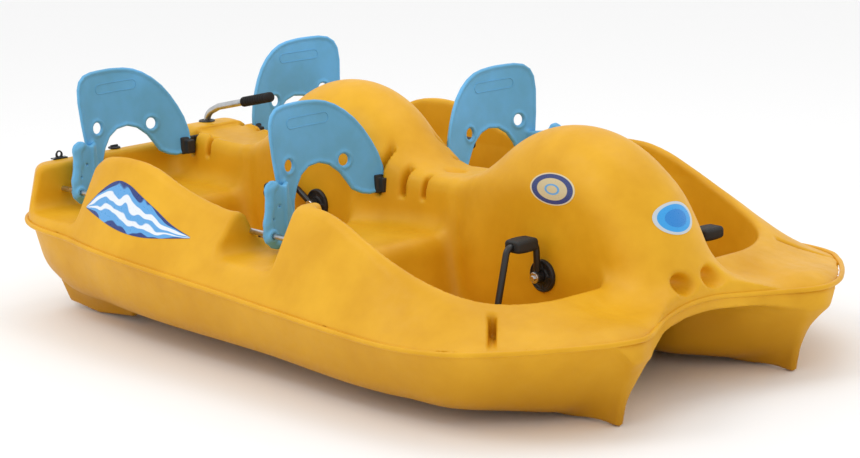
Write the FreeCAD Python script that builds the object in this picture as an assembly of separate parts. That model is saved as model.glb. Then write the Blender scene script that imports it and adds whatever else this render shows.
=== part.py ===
import FreeCAD, Part
import math
import os

# Four-seat pedal boat: a double-walled moulded twin hull, two crank-driven paddle
# wheels, four seatbacks riding on side rods, and a tiller with its rudder.
# Frame: +X is the bow, +Y is port, +Z is up.  The origin is on the centreline at
# mid-length, level with the lowest points of the bow skegs.  All sizes are in mm.

# ---------------------------------------------------------------- driving sizes
hull_length = 2360.0
hull_beam = 1600.0
wall = 5.0

rail_width = 10.0
rail_height = 14.0
lip_height = 7.0
part_line_stern = 306.0
part_line_low = 226.0
part_line_low_x = 650.0
part_line_bow = 268.0

tunnel_half = 125.0
tunnel_roof_drop = 34.0
tunnel_flare = 0.8
skeg_thickness = 30.0
skeg_y = 350.0
fin_thickness = 26.0
fin_y = 545.0

spine_half = 118.0
dome_half = 150.0
console_top = 506.0
saddle_top = 508.0
stern_deck_z = 462.0

axle_x = {"front": 600.0, "rear": -345.0}
axle_z = {"front": 295.0, "rear": 365.0}
dome_radius = {"front": 392.0, "rear": 352.0}
foot_floor = {"front": 110.0, "rear": 175.0}

wheel_radius = 225.0
wheel_half_width = 86.0
wheel_hub_radius = 45.0
blade_count = 8
blade_thickness = 5.0
wheel_disc_radius = 150.0
wheel_disc_thickness = 6.0
well_half = 106.0
well_clearance = 18.0

axle_radius = 11.0
running_gap = 0.08
bearing_sleeve_radius = 17.0
bearing_flange_radius = 46.0
bearing_flange_thickness = 22.0
press_gap = 0.05

crank_throw = 100.0
crank_bar_radius = 9.5
crank_boss_radius = 17.0
crank_boss_length = 22.0
crank_side_gap = 1.5
inner_pin_length = 110.0
web_lean = 60.0
outer_pin_length = 100.0
pedal_length = 80.0
pedal_width = 62.0
pedal_thickness = 38.0
pedal_bushing_gap = 0.1
pin_washer_radius = 14.0
pin_washer_thickness = 3.0
crank_bolt_head_radius = 8.0
crank_bolt_head_height = 5.0
crank_bolt_radius = 4.0
crank_bolt_reach = 30.0
crank_angle = {
    ("front", "starboard"): 92.0,
    ("front", "port"): 200.0,
    ("rear", "starboard"): 150.0,
    ("rear", "port"): 258.0,
}

seat_row_x = {"front": -110.0, "rear": -1030.0}
seat_centre_y = 352.0
seat_top = 730.0
seat_thickness = 7.0
seat_bend_radius = 640.0
seat_rake = 5.0
seat_side_gap = 6.0
seat_arch_radius = 99.0
seat_arch_z = 452.0
seat_hole_radius = 17.0
seat_hole_out = (470.0, 557.0)
seat_hole_in = (262.0, 543.0)
ear_ahead = 45.0
ear_thickness = 9.0
ear_bead_radius = 13.0

rod_y = 575.0
rod_z = 382.0
rod_radius = 8.0
rod_bite = 22.0
rod_boss_radius = 18.0
rod_boss_length = 34.0
rod_gap = 0.1
pocket_behind_ear = 85.0
pocket_length = 262.0
pocket_floor = 328.0

slot_pitch = 77.0
slot_count = {"front": 3, "rear": 2}
slot_width = 18.0
slot_depth = 36.0
slot_bottom = 424.0
tab_thickness = 13.0
tab_behind = 18.0

seat_well_half = 545.0
foot_well_half = 600.0
seat_pan_z = 350.0
seat_pan_front = 200.0
seat_pan_rear = -178.0

scupper_x = 800.0
scupper_width = 18.0
scupper_z = 268.0
recess_x = (972.0, 1006.0)
recess_y = (26.0, 92.0)
recess_z = 286.0

tiller_x = -1078.0
tiller_radius = 11.0
tiller_grip_radius = 16.0
rudder_tube_outer = 19.0
rudder_tube_inner = 14.5
bush_flange_radius = 26.0
bush_flange_height = 5.0
bush_length = 30.0
rudder_thickness = 8.0
rudder_fore = 50.0
rudder_aft = 95.0
rudder_bottom = 45.0
rudder_top = 205.0
rudder_bolt_radius = 4.0
rudder_bolt_head_radius = 7.0
rudder_sleeve_wall = 6.0

eye_inset_x = 38.0
eye_y = 540.0
eye_thickness = 6.0
eye_bore_radius = 7.0
eye_screw_pitch = 40.0
eye_screw_radius = 2.0
plug_y = 330.0
plug_stem_radius = 12.0
plug_head_radius = 20.0

sticker_thickness = 1.0
dome_sticker_half_length = 84.0
dome_sticker_half_height = 44.0
dome_sticker_dx = 34.0
dome_sticker_dz = 245.0
badge_half_width = 74.0
badge_half_height = 42.0
badge_z = 478.0

half_length = hull_length / 2.0 - rail_width
half_beam = hull_beam / 2.0 - rail_width
SIDES = {"starboard": -1.0, "port": 1.0}
ROWS = ("front", "rear")
V = FreeCAD.Vector


# ---------------------------------------------------------------- small helpers
def polygon_face(points):
    return Part.Face(Part.makePolygon(points + [points[0]]))


def prism_xz(points, y0, y1):
    return polygon_face([V(x, y0, z) for x, z in points]).extrude(V(0, y1 - y0, 0))


def prism_xy(points, z0, z1):
    return polygon_face([V(x, y, z0) for x, y in points]).extrude(V(0, 0, z1 - z0))


def prism_yz(points, x0, x1):
    return polygon_face([V(x0, y, z) for y, z in points]).extrude(V(x1 - x0, 0, 0))


def block(x0, x1, y0, y1, z0, z1):
    low_y = min(y0, y1)
    return Part.makeBox(x1 - x0, abs(y1 - y0), z1 - z0, V(x0, low_y, z0))


def rod_between(start, end, radius):
    axis = end.sub(start)
    return Part.makeCylinder(radius, axis.Length, start, axis)


def bar_through(points, radius):
    """A round bar bent through the points, with a ball at each bend."""
    bar = rod_between(points[0], points[1], radius)
    for start, end in zip(points[1:], points[2:]):
        bar = bar.fuse([Part.makeSphere(radius, start), rod_between(start, end, radius)])
    return bar


def unite(shapes):
    whole = shapes[0]
    if len(shapes) > 1:
        whole = whole.fuse(shapes[1:])
    return whole.removeSplitter()


def mirrored(shape):
    return shape.mirror(V(0, 0, 0), V(0, 1, 0))


def both_sides(shape):
    return [shape, mirrored(shape)]


def signed_area(points):
    total = 0.0
    for (xa, ya), (xb, yb) in zip(points, points[1:] + points[:1]):
        total += xa * yb - xb * ya
    return total / 2.0


def grown(points, distance):
    """The polygon with every edge moved outward by distance, inward if negative."""
    turn = 1.0 if signed_area(points) > 0 else -1.0
    count = len(points)
    lines = []
    for i in range(count):
        (xa, ya), (xb, yb) = points[i], points[(i + 1) % count]
        length = math.hypot(xb - xa, yb - ya)
        nx, ny = turn * (yb - ya) / length, -turn * (xb - xa) / length
        lines.append((nx, ny, nx * xa + ny * ya + distance))
    moved = []
    for i in range(count):
        (a, b, c), (d, e, f) = lines[i - 1], lines[i]
        cross = a * e - b * d
        if abs(cross) < 1e-6:
            x, y = points[i]
            moved.append((x + a * distance, y + b * distance))
        else:
            moved.append(((c * e - b * f) / cross, (a * f - c * d) / cross))
    return moved


def between(table, x):
    """Straight-line value at x of a table of (x, value)."""
    if x <= table[0][0]:
        return table[0][1]
    for (xa, va), (xb, vb) in zip(table, table[1:]):
        if x <= xb:
            return va + (vb - va) * (x - xa) / (xb - xa)
    return table[-1][1]


def skinned(stations):
    """A solid through cross-sections (x, [(y, z), ...]), all with as many corners."""
    faces = []
    for (xa, near), (xb, far) in zip(stations, stations[1:]):
        count = len(near)
        for i in range(count):
            j = (i + 1) % count
            a, b = V(xa, *near[i]), V(xa, *near[j])
            c, d = V(xb, *far[j]), V(xb, *far[i])
            if near[i][0] + near[j][0] >= 0:
                corners = ((a, b, c), (a, c, d))
            else:
                corners = ((a, b, d), (b, c, d))
            faces += [polygon_face(list(triple)) for triple in corners]
    for x, section in (stations[0], stations[-1]):
        faces.append(polygon_face([V(x, y, z) for y, z in section]))
    solid = Part.Solid(Part.Shell(faces))
    if solid.Volume < 0:
        solid.reverse()
    return solid.removeSplitter()


# ---------------------------------------------------------------- hull outline
OUTLINE_SHARES = [
    (-1.0, 0.77),
    (-0.965, 0.84),
    (-0.667, 0.958),
    (0.0, 0.99),
    (0.556, 1.0),
    (0.66, 0.978),
    (0.74, 0.938),
    (0.806, 0.87),
    (0.876, 0.77),
    (0.925, 0.69),
    (0.965, 0.61),
    (0.992, 0.53),
    (1.0, 0.47),
    (0.99, 0.42),
    (0.951, 0.335),
    (0.902, 0.19),
    (0.886, 0.0),
]
BOW_TIP = 12


def outline():
    half = [(sx * half_length, sy * half_beam) for sx, sy in OUTLINE_SHARES]
    return half + [(x, -y) for x, y in reversed(half[:-1])]


def side_width(x):
    table = [(sx * half_length, sy * half_beam) for sx, sy in OUTLINE_SHARES[: BOW_TIP + 1]]
    return between(table, x)


def part_line(x):
    """Height at which the upper and lower mouldings meet."""
    table = [
        (-half_length, part_line_stern),
        (part_line_low_x, part_line_low),
        (half_length, part_line_bow),
    ]
    return between(table, x)


def part_band(lower, upper):
    """Everything between two offsets from the meeting line, across the boat."""
    reach = 1.3
    xs = [-half_length * reach, part_line_low_x, half_length * reach]
    below = [(x, part_line(x) + lower) for x in xs]
    above = [(x, part_line(x) + upper) for x in reversed(xs)]
    return prism_xz(below + above, -hull_beam, hull_beam)


# height and half width of the gunwale edge along the boat
def gunwale_height():
    front_pocket = seat_row_x["front"] + ear_ahead - pocket_behind_ear
    rear_pocket = seat_row_x["rear"] + ear_ahead - pocket_behind_ear
    front_end = front_pocket + pocket_length
    rear_end = rear_pocket + pocket_length
    return [
        (-half_length, stern_deck_z),
        (rear_pocket - 10.0, stern_deck_z),
        (rear_end - 5.0, 505.0),
        (rear_end + 45.0, 528.0),
        (rear_end + 150.0, 512.0),
        (rear_end + 380.0, 452.0),
        (front_pocket - 20.0, 434.0),
        (front_end - 20.0, 470.0),
        (front_end + 20.0, 494.0),
        (front_end + 110.0, 470.0),
        (front_end + 290.0, 405.0),
        (front_end + 470.0, 342.0),
        (front_end + 690.0, 304.0),
        (1020.0, 292.0),
        (1.02 * half_length, 278.0),
    ]


GUNWALE_SETBACK = [
    (-1180.0, 20.0),
    (-1050.0, 100.0),
    (-700.0, 128.0),
    (0.0, 150.0),
    (650.0, 150.0),
    (850.0, 110.0),
    (1000.0, 50.0),
    (1180.0, 12.0),
]


def station_xs():
    xs = {-half_length, -0.965 * half_length, part_line_low_x, half_length}
    xs |= {x for x, _ in gunwale_height() if abs(x) < half_length}
    xs |= {0.812 * half_length, 0.923 * half_length, 0.983 * half_length}
    return sorted(xs)


def upper_body(inset):
    """The upper moulding's outer form, without its wells; inset makes it smaller."""
    stations = []
    for x in station_xs():
        rim_y, rim_z = side_width(x), part_line(x)
        top_y, top_z = rim_y - between(GUNWALE_SETBACK, x), between(gunwale_height(), x)
        half = [(rim_y, rim_z - 60.0), (rim_y, rim_z), (top_y, top_z)]
        ring = half + [(-y, z) for y, z in reversed(half)]
        stations.append((x, grown(ring, -inset)))
    body = skinned(stations)
    body = body.common(prism_xy(grown(outline(), -inset), 0.0, 900.0))
    transom = [(-half_length - 20.0, part_line_stern - 80.0), (-half_length, part_line_stern)]
    transom += [(-half_length + 42.0, 460.0), (-half_length + 60.0, 1000.0)]
    transom += [(2.0 * half_length, 1000.0), (2.0 * half_length, part_line_stern - 80.0 - 400.0)]
    transom += [(-half_length - 20.0, part_line_stern - 80.0 - 400.0)]
    return body.common(prism_xz(grown(transom, -inset), -hull_beam, hull_beam))


# Lower moulding cross-sections.  Each row is: place along the half length, then
# chine half width and height, keel flat outer and inner half widths and height, and
# the tunnel side's lower half width and height.  Half widths are shares of the beam.
LOWER_SECTIONS = [
    (-1.0, 0.70, 232.0, 0.60, 0.36, 206.0, 0.20, 216.0),
    (-0.90, 0.81, 112.0, 0.63, 0.33, 62.0, 0.17, 84.0),
    (-0.62, 0.875, 96.0, 0.62, 0.32, 30.0, 0.165, 56.0),
    (0.0, 0.90, 80.0, 0.60, 0.32, 16.0, 0.165, 48.0),
    (0.50, 0.895, 62.0, 0.59, 0.33, 10.0, 0.165, 46.0),
    (0.68, 0.84, 66.0, 0.58, 0.34, 10.0, 0.17, 52.0),
    (0.80, 0.70, 104.0, 0.54, 0.37, 26.0, 0.27, 78.0),
    (0.90, 0.585, 164.0, 0.49, 0.40, 84.0, 0.33, 150.0),
    (0.965, 0.52, 216.0, 0.465, 0.42, 160.0, 0.38, 212.0),
    (1.0, 0.455, 248.0, 0.44, 0.42, 222.0, 0.40, 246.0),
]


def lower_body(inset):
    """The lower moulding's outer form: two pontoons and the roof between them."""
    open_top = 60.0 if inset else 0.0
    shares = {share for share, _ in OUTLINE_SHARES[: BOW_TIP + 1]}
    shares |= {section[0] for section in LOWER_SECTIONS}
    shares |= {part_line_low_x / half_length}
    stations = []
    for share in sorted(shares):
        x = share * half_length
        rim_y, rim_z = side_width(x), part_line(x)
        chine_y, chine_z, keel_out, keel_in, keel_z, inner_y, inner_z = [
            between([(section[0], section[k]) for section in LOWER_SECTIONS], share) for k in range(1, 8)
        ]
        if inset and abs(share) == 1.0:
            x -= math.copysign(inset, share)
        flare = max(inner_y * half_beam - 140.0, 0.0) * tunnel_flare
        half = [
            (rim_y, rim_z + open_top),
            (rim_y, rim_z - 1.0),
            (chine_y * half_beam, chine_z),
            (keel_out * half_beam, keel_z),
            (keel_in * half_beam, keel_z),
            (max(inner_y * half_beam, tunnel_half + 5.0), inner_z),
            (tunnel_half + flare, rim_z - tunnel_roof_drop),
        ]
        ring = half + [(-y, z) for y, z in reversed(half)]
        stations.append((x, grown(ring, -inset)))
    body = skinned(stations)
    return body.common(prism_xy(grown(outline(), -inset), -50.0, 900.0))


# ---------------------------------------------------------------- spine and domes
def spine_form(inset):
    """The raised centre: rear console, two domes and the saddle between them."""
    profile = [
        (-1128.0, 200.0),
        (-1128.0, console_top),
        (-1040.0, console_top),
        (-800.0, 488.0),
        (-640.0, 500.0),
        (-30.0, 494.0),
        (70.0, saddle_top),
        (240.0, saddle_top - 8.0),
        (900.0, 470.0),
        (975.0, 350.0),
        (1012.0, 296.0),
        (1012.0, 200.0),
    ]
    top = prism_xz(grown(profile, -inset), -spine_half + inset, spine_half - inset)
    forms = [top]
    for row in ROWS:
        radius = dome_radius[row] - inset
        half = dome_half - inset
        ring = [(0.0, -half), (radius - 80.0, -half), (radius - 22.0, -half + 34.0)]
        ring += [(radius, -half + 84.0), (radius, half - 84.0)]
        ring += [(radius - 22.0, half - 34.0), (radius - 80.0, half), (0.0, half)]
        face = polygon_face([V(r, y, 0) for r, y in ring])
        dome = face.revolve(V(0, 0, 0), V(0, 1, 0), 360.0)
        dome.translate(V(axle_x[row], 0, axle_z[row]))
        forms.append(dome.common(block(-1500.0, 1500.0, -400.0, 400.0, 200.0, 900.0)))
    return unite(forms)


# ---------------------------------------------------------------- wells and pockets
def well_profiles():
    """Side views of each seat well and foot well: (name, points, inner, outer)."""
    top = 900.0
    front, rear = seat_row_x["front"], seat_row_x["rear"]
    return [
        (
            [(rear - 62.0, top), (rear - 52.0, seat_pan_z), (rear + 270.0, seat_pan_z + 16.0),
             (rear + 295.0, seat_pan_z + 4.0), (rear + 297.0, top)],
            spine_half,
            seat_well_half,
        ),
        (
            [(rear + 290.0, top), (rear + 290.0, seat_pan_z + 6.0), (rear + 342.0, foot_floor["rear"]),
             (seat_pan_rear - 66.0, foot_floor["rear"]), (seat_pan_rear - 8.0, 292.0),
             (seat_pan_rear, seat_pan_z - 8.0), (seat_pan_rear, top)],
            dome_half,
            foot_well_half,
        ),
        (
            [(seat_pan_rear - 2.0, top), (seat_pan_rear - 2.0, seat_pan_z - 8.0),
             (seat_pan_front - 30.0, seat_pan_z + 10.0), (seat_pan_front, seat_pan_z - 4.0),
             (seat_pan_front + 2.0, top)],
            spine_half,
            seat_well_half,
        ),
        (
            [(seat_pan_front - 4.0, top), (seat_pan_front - 4.0, seat_pan_z - 4.0),
             (seat_pan_front + 66.0, foot_floor["front"]), (738.0, foot_floor["front"]),
             (830.0, 240.0), (848.0, 300.0), (852.0, top)],
            dome_half,
            foot_well_half,
        ),
    ]


def well_cutters(growth):
    """Seat wells, foot wells, rod pockets, tab slots, scuppers and bow hand grips."""
    cutters = []
    for profile, inner, outer in well_profiles():
        cutters.append(prism_xz(grown(profile, growth), inner - growth, outer + growth))
    for row in ROWS:
        start = seat_row_x[row] + ear_ahead - pocket_behind_ear
        cutters.append(
            block(start - growth, start + pocket_length + growth, seat_well_half - 20.0,
                  hull_beam, pocket_floor - growth, 900.0)
        )
        for k in range(slot_count[row]):
            x = tab_centre_x(row) + k * slot_pitch
            reach = slot_width / 2.0 + growth
            cutters.append(
                block(x - reach, x + reach, spine_half - slot_depth - growth,
                      spine_half + 10.0, slot_bottom - growth, 900.0)
            )
    scupper_end = scupper_x + scupper_width
    cutters.append(block(scupper_x - growth, scupper_end + growth, foot_well_half - 20.0, hull_beam,
                         scupper_z - growth, 900.0))
    cutters.append(block(recess_x[0] - growth, recess_x[1] + growth, recess_y[0] - growth,
                         recess_y[1] + growth, recess_z - growth, 900.0))
    return unite(cutters)


def tab_centre_x(row):
    lean = (seat_centre_y - spine_half) ** 2 / (2.0 * seat_bend_radius)
    return seat_row_x[row] + lean - tab_behind


def hole_through(x, y0, y1, z, radius):
    return rod_between(V(x, y0, z), V(x, y1, z), radius)


def rod_ends(row):
    start = seat_row_x[row] + ear_ahead - pocket_behind_ear
    return start - rod_bite, start + pocket_length + rod_bite


def make_deck():
    outer = unite([upper_body(0.0).common(part_band(0.0, 700.0)), spine_form(0.0)])
    inner = unite([upper_body(wall), spine_form(wall).fuse(
        block(-1100.0, 980.0, -spine_half + wall, spine_half - wall, 150.0, 330.0))])
    outer = outer.common(part_band(0.0, 700.0))
    skin = outer.cut(inner)
    below = prism_xy(grown(outline(), -60.0), 0.0, 400.0).common(part_band(-400.0, 1.0))
    keep = outer.fuse(below)
    side_wells = well_cutters(wall)
    side_voids = well_cutters(0.0)
    linings = unite([side_wells, mirrored(side_wells)]).common(keep)
    voids = unite([side_voids, mirrored(side_voids)])
    deck = skin.fuse(linings).cut(voids)
    rail = prism_xy(grown(outline(), rail_width), 0.0, 600.0)
    rail = rail.cut(prism_xy(grown(outline(), -0.6 * wall), -10.0, 700.0))
    rail = rail.common(part_band(0.0, rail_height))
    deck = deck.fuse(rail)
    holes = []
    for row in ROWS:
        holes.append(hole_through(axle_x[row], -dome_half - 9.0, dome_half + 9.0, axle_z[row],
                                  bearing_sleeve_radius + press_gap))
        x0, x1 = rod_ends(row)
        for side in SIDES.values():
            holes.append(rod_between(V(x0 - 1.0, side * rod_y, rod_z), V(x1 + 1.0, side * rod_y, rod_z),
                                     rod_radius + press_gap))
    holes.append(rod_between(V(tiller_x, 0, 380.0), V(tiller_x, 0, 700.0), rudder_tube_outer + press_gap))
    holes += fitting_holes()
    return deck.cut(unite(holes)).removeSplitter()


def well_form(row, growth):
    radius = wheel_radius + well_clearance + growth
    half = well_half + growth
    x, z = axle_x[row], axle_z[row]
    form = Part.makeCylinder(radius, 2.0 * half, V(x, -half, z), V(0, 1, 0))
    return form.fuse(block(x - radius, x + radius, -half, half, 40.0, z))


def make_hull_bottom():
    shell = lower_body(0.0).common(part_band(-400.0, 0.0)).cut(lower_body(wall))
    housings = unite([well_form(row, wall) for row in ROWS])
    voids = unite([well_form(row, 0.0) for row in ROWS])
    above_roof = part_band(-tunnel_roof_drop, 500.0)
    hull = shell.fuse(housings.common(above_roof)).cut(voids)
    lip = prism_xy(grown(outline(), rail_width), 0.0, 600.0)
    lip = lip.cut(prism_xy(grown(outline(), -0.6 * wall), -10.0, 700.0))
    hull = hull.fuse(lip.common(part_band(-lip_height, 0.0)))
    skeg = [(0.76, 22.0), (0.893, 0.0), (0.909, 0.0), (0.935, 140.0), (0.955, 190.0), (0.80, 190.0)]
    skeg = [(x * half_length, z) for x, z in skeg]
    fin = [(-0.97, 130.0), (-0.935, 18.0), (-0.81, 3.0), (-0.66, 22.0), (-0.62, 96.0)]
    fin = [(x * half_length, z) for x, z in fin]
    blades = []
    for side in SIDES.values():
        y = side * skeg_y
        blades.append(prism_xz(skeg, y - skeg_thickness / 2.0, y + skeg_thickness / 2.0))
        y = side * fin_y
        blades.append(prism_xz(fin, y - fin_thickness / 2.0, y + fin_thickness / 2.0))
    keels = unite(blades).cut(lower_body(wall))
    hull = hull.fuse(keels)
    holes = []
    for row in ROWS:
        holes.append(hole_through(axle_x[row], -tunnel_half - 9.0, tunnel_half + 9.0, axle_z[row],
                                  bearing_sleeve_radius + press_gap))
    holes.append(rod_between(V(tiller_x, 0, 200.0), V(tiller_x, 0, 340.0), rudder_tube_outer + press_gap))
    return hull.cut(unite(holes)).removeSplitter()


# ---------------------------------------------------------------- seatbacks and rods
def seat_panel_outline():
    """Edge of the back panel seen from the front: half-width side first, then inboard."""
    y, top = seat_centre_y, seat_top
    seat_inner_y = spine_half + seat_side_gap
    arcs = [
        ((y + 166.0, top - 205.0), (y + 177.0, top - 87.0), (y + 168.0, top - 28.0)),
        ((y + 168.0, top - 28.0), (y + 141.0, top - 4.0), (y + 85.0, top + 2.0)),
        ((y + 85.0, top + 2.0), (y - 88.0, top - 24.0), (y - 192.0, top - 147.0)),
        ((y - 192.0, top - 147.0), (y - 219.0, top - 190.0), (seat_inner_y, top - 240.0)),
        ((seat_inner_y, top - 240.0), (y - 212.0, top - 290.0), (y - 150.0, top - 293.0)),
    ]
    edges = []
    for start, middle, end in arcs:
        edges.append(Part.Arc(V(0, *start), V(0, *middle), V(0, *end)).toShape())
    corners = [arcs[-1][2], (y - 99.0, top - 270.0), (y + 99.0, top - 290.0)]
    corners += [(y + 108.0, rod_z - 8.0)]
    corners += [(y + 146.0, rod_z - 16.0), arcs[0][0]]
    for start, end in zip(corners, corners[1:]):
        edges.append(Part.makeLine(V(0, *start), V(0, *end)))
    return Part.Wire(edges)


def ear_outline():
    z = rod_z
    points = [(y_out, dz) for y_out, dz in (
        (-18.0, 158.0), (8.0, 146.0), (17.0, 120.0), (12.0, 84.0), (24.0, 32.0), (20.0, -14.0),
        (-14.0, -42.0), (-38.0, -44.0), (-50.0, -16.0), (-84.0, -12.0), (-88.0, 60.0), (-66.0, 144.0),
    )]
    return [(rod_y + y_out, z + dz) for y_out, dz in points]


def make_seatback(row, side):
    """Curved panel with its arch and holes, and the ear that rides on the side rod."""
    x = seat_row_x[row]
    centre = V(x + seat_bend_radius, seat_centre_y, 250.0)
    outer = Part.makeCylinder(seat_bend_radius + seat_thickness, 600.0, centre)
    inner = Part.makeCylinder(seat_bend_radius, 600.0, centre)
    panel = Part.Face(seat_panel_outline())
    panel.translate(V(x - 60.0, 0, 0))
    panel = panel.extrude(V(150.0, 0, 0)).common(outer.cut(inner))
    arch = rod_between(V(x - 80.0, seat_centre_y, seat_arch_z), V(x + 100.0, seat_centre_y, seat_arch_z),
                       seat_arch_radius)
    below_arch = block(x - 80.0, x + 100.0, seat_centre_y - seat_arch_radius,
                       seat_centre_y + seat_arch_radius, 300.0, seat_arch_z)
    holes = [arch, below_arch]
    for y, z in (seat_hole_out, seat_hole_in):
        holes.append(rod_between(V(x - 80.0, y, z), V(x + 100.0, y, z), seat_hole_radius))
    panel = panel.cut(unite(holes))
    panel.rotate(V(x, 0, rod_z), V(0, 1, 0), -seat_rake)
    ear_x = x + ear_ahead
    plate = prism_yz(ear_outline(), ear_x - ear_thickness / 2.0, ear_x + ear_thickness / 2.0)
    bead_path = [(-16.0, 144.0), (0.0, 128.0), (-2.0, 84.0), (9.0, 30.0), (6.0, -12.0), (-20.0, -30.0)]
    bead_points = [V(ear_x, rod_y + dy, rod_z + dz) for dy, dz in bead_path]
    bead = bar_through(bead_points, ear_bead_radius)
    bead = bead.fuse([Part.makeSphere(ear_bead_radius, bead_points[0]),
                      Part.makeSphere(ear_bead_radius, bead_points[-1])])
    boss = rod_between(V(ear_x - rod_boss_length / 2.0, rod_y, rod_z),
                       V(ear_x + rod_boss_length / 2.0, rod_y, rod_z), rod_boss_radius)
    web = seat_web(row)
    back = panel.fuse([plate, bead, boss, web])
    bore = rod_between(V(ear_x - 60.0, rod_y, rod_z), V(ear_x + 60.0, rod_y, rod_z), rod_radius + rod_gap)
    back = back.cut(bore).removeSplitter()
    return back if side == "port" else mirrored(back)


def seat_web(row):
    """The sloping web that joins the panel's outer edge to the ear."""
    x = seat_row_x[row]
    ear_x = x + ear_ahead
    y0, y1 = rod_y - 88.0, rod_y - 56.0
    plan = [(x + 6.0, y0), (ear_x - ear_thickness / 2.0, y1)]
    plan += [(ear_x + ear_thickness / 2.0, y1 - 4.0), (x + 24.0, y0 - 6.0)]
    return prism_xy(plan, rod_z - 12.0, rod_z + 140.0)


def make_seat_tab(row, side, seatback):
    """Dark block at the panel's inboard foot; it drops into a slot of the spine."""
    x = tab_centre_x(row)
    tab = block(x - tab_thickness / 2.0, x + tab_thickness / 2.0, spine_half - slot_depth + 8.0,
                spine_half + 44.0, slot_bottom + 8.0, slot_bottom + 62.0)
    bridge = block(x, x + tab_behind + 12.0, spine_half + 10.0, spine_half + 38.0,
                   slot_bottom + 12.0, slot_bottom + 54.0)
    tab = tab.fuse(bridge)
    if side == "starboard":
        tab = mirrored(tab)
    pieces = tab.cut(seatback).Solids
    return sorted(pieces, key=lambda piece: piece.Volume)[-1].removeSplitter()


def make_seat_rod(row, side):
    x0, x1 = rod_ends(row)
    y = SIDES[side] * rod_y
    return rod_between(V(x0, y, rod_z), V(x1, y, rod_z), rod_radius)


# ---------------------------------------------------------------- drive
def axle_half_length():
    return dome_half + bearing_flange_thickness + crank_side_gap + crank_boss_length


def make_axle(row):
    """Round axle with a tapped hole in each end for the crank bolt."""
    x, z = axle_x[row], axle_z[row]
    half = axle_half_length()
    axle = hole_through(x, -half, half, z, axle_radius)
    taps = []
    for s in SIDES.values():
        taps.append(hole_through(x, s * (half + 1.0), s * (half - crank_bolt_reach), z, crank_bolt_radius))
    return axle.cut(unite(taps))


def make_paddle_wheel(row):
    """Hub, two stiffening discs and flat blades, moulded as one wheel."""
    x, z = axle_x[row], axle_z[row]
    w = wheel_half_width
    parts = [rod_between(V(x, -w, z), V(x, w, z), wheel_hub_radius)]
    for y in (-w, w - wheel_disc_thickness):
        parts.append(rod_between(V(x, y, z), V(x, y + wheel_disc_thickness, z), wheel_disc_radius))
    for k in range(blade_count):
        half = blade_thickness / 2.0
        blade = block(wheel_hub_radius - 5.0, wheel_radius, -w, w, -half, half)
        blade.rotate(V(0, 0, 0), V(0, 1, 0), 360.0 * k / blade_count)
        blade.translate(V(x, 0, z))
        parts.append(blade)
    wheel = unite(parts)
    return wheel.cut(rod_between(V(x, -w - 1.0, z), V(x, w + 1.0, z), axle_radius)).removeSplitter()


def make_axle_bearing(row, side):
    """Flanged bush lining both walls where the axle leaves the wheel housing."""
    s = SIDES[side]
    x, z = axle_x[row], axle_z[row]
    sleeve = hole_through(x, s * (well_half + 2.0), s * (dome_half + 1.0), z, bearing_sleeve_radius)
    face = dome_half + bearing_flange_thickness
    flange = hole_through(x, s * dome_half, s * (face - 6.0), z, bearing_flange_radius)
    crown = Part.makeCone(bearing_flange_radius, bearing_flange_radius - 8.0, 6.0,
                          V(x, s * (face - 6.0), z), V(0, s, 0))
    bush = unite([sleeve, flange, crown])
    bore = hole_through(x, s * (well_half - 5.0), s * (face + 5.0), z, axle_radius + running_gap)
    for k in range(4):
        pocket = block(20.0, 33.0, face - 4.0, face + 5.0, -4.5, 4.5)
        pocket.rotate(V(0, 0, 0), V(0, 1, 0), 45.0 + 90.0 * k)
        if s < 0:
            pocket = mirrored(pocket)
        pocket.translate(V(x, 0, z))
        bush = bush.cut(pocket)
    return bush.cut(bore).removeSplitter()


def crank_points(row, side):
    """Centre line of the bent crank, from the axle end to the free end."""
    s = SIDES[side]
    angle = math.radians(crank_angle[(row, side)])
    dx, dz = crank_throw * math.cos(angle), crank_throw * math.sin(angle)
    x, z = axle_x[row], axle_z[row]
    y1 = dome_half + bearing_flange_thickness + crank_side_gap + crank_boss_length / 2.0
    y2 = y1 + inner_pin_length
    y3 = y2 + web_lean
    y4 = y3 + outer_pin_length
    return [V(x, s * y1, z), V(x + dx, s * y1, z + dz), V(x + dx, s * y2, z + dz),
            V(x - dx, s * y3, z - dz), V(x - dx, s * y4, z - dz)]


def make_crank(row, side):
    points = crank_points(row, side)
    bar = bar_through(points, crank_bar_radius)
    s = SIDES[side]
    half = crank_boss_length / 2.0
    hub_a = points[0].sub(V(0, s * half, 0))
    hub_b = points[0].add(V(0, s * half, 0))
    crank = bar.fuse(rod_between(hub_a, hub_b, crank_boss_radius))
    bore = rod_between(hub_a.sub(V(0, s, 0)), hub_b.add(V(0, s, 0)), axle_radius)
    return crank.cut(bore).removeSplitter()


def pedal_span(row, side, place):
    """Pin centre line covered by a pedal: start, end, both on the crank's pin."""
    points = crank_points(row, side)
    start, end = (points[1], points[2]) if place == "inner" else (points[3], points[4])
    along = end.sub(start).normalize()
    middle = start.add(end).multiply(0.5)
    if place == "outer":
        middle = end.sub(V(along).multiply(pedal_length / 2.0 + pin_washer_thickness + 2.0))
    half = V(along).multiply(pedal_length / 2.0)
    return middle.sub(half), middle.add(half)


def make_pedal(row, side, place):
    """Block pedal with rounded ends, free to turn on its pin."""
    start, end = pedal_span(row, side, place)
    low = start if start.y < end.y else end
    r = pedal_thickness / 2.0
    reach = pedal_width / 2.0 - r
    x, y, z = low.x, low.y, low.z
    body = block(x - reach, x + reach, y, y + pedal_length, z - r, z + r)
    ends = [Part.makeCylinder(r, pedal_length, V(x + e, y, z), V(0, 1, 0)) for e in (-reach, reach)]
    pedal = body.fuse(ends).removeSplitter()
    bore = hole_through(x, y - 1.0, y + pedal_length + 1.0, z, crank_bar_radius + pedal_bushing_gap)
    return pedal.cut(bore)


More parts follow.
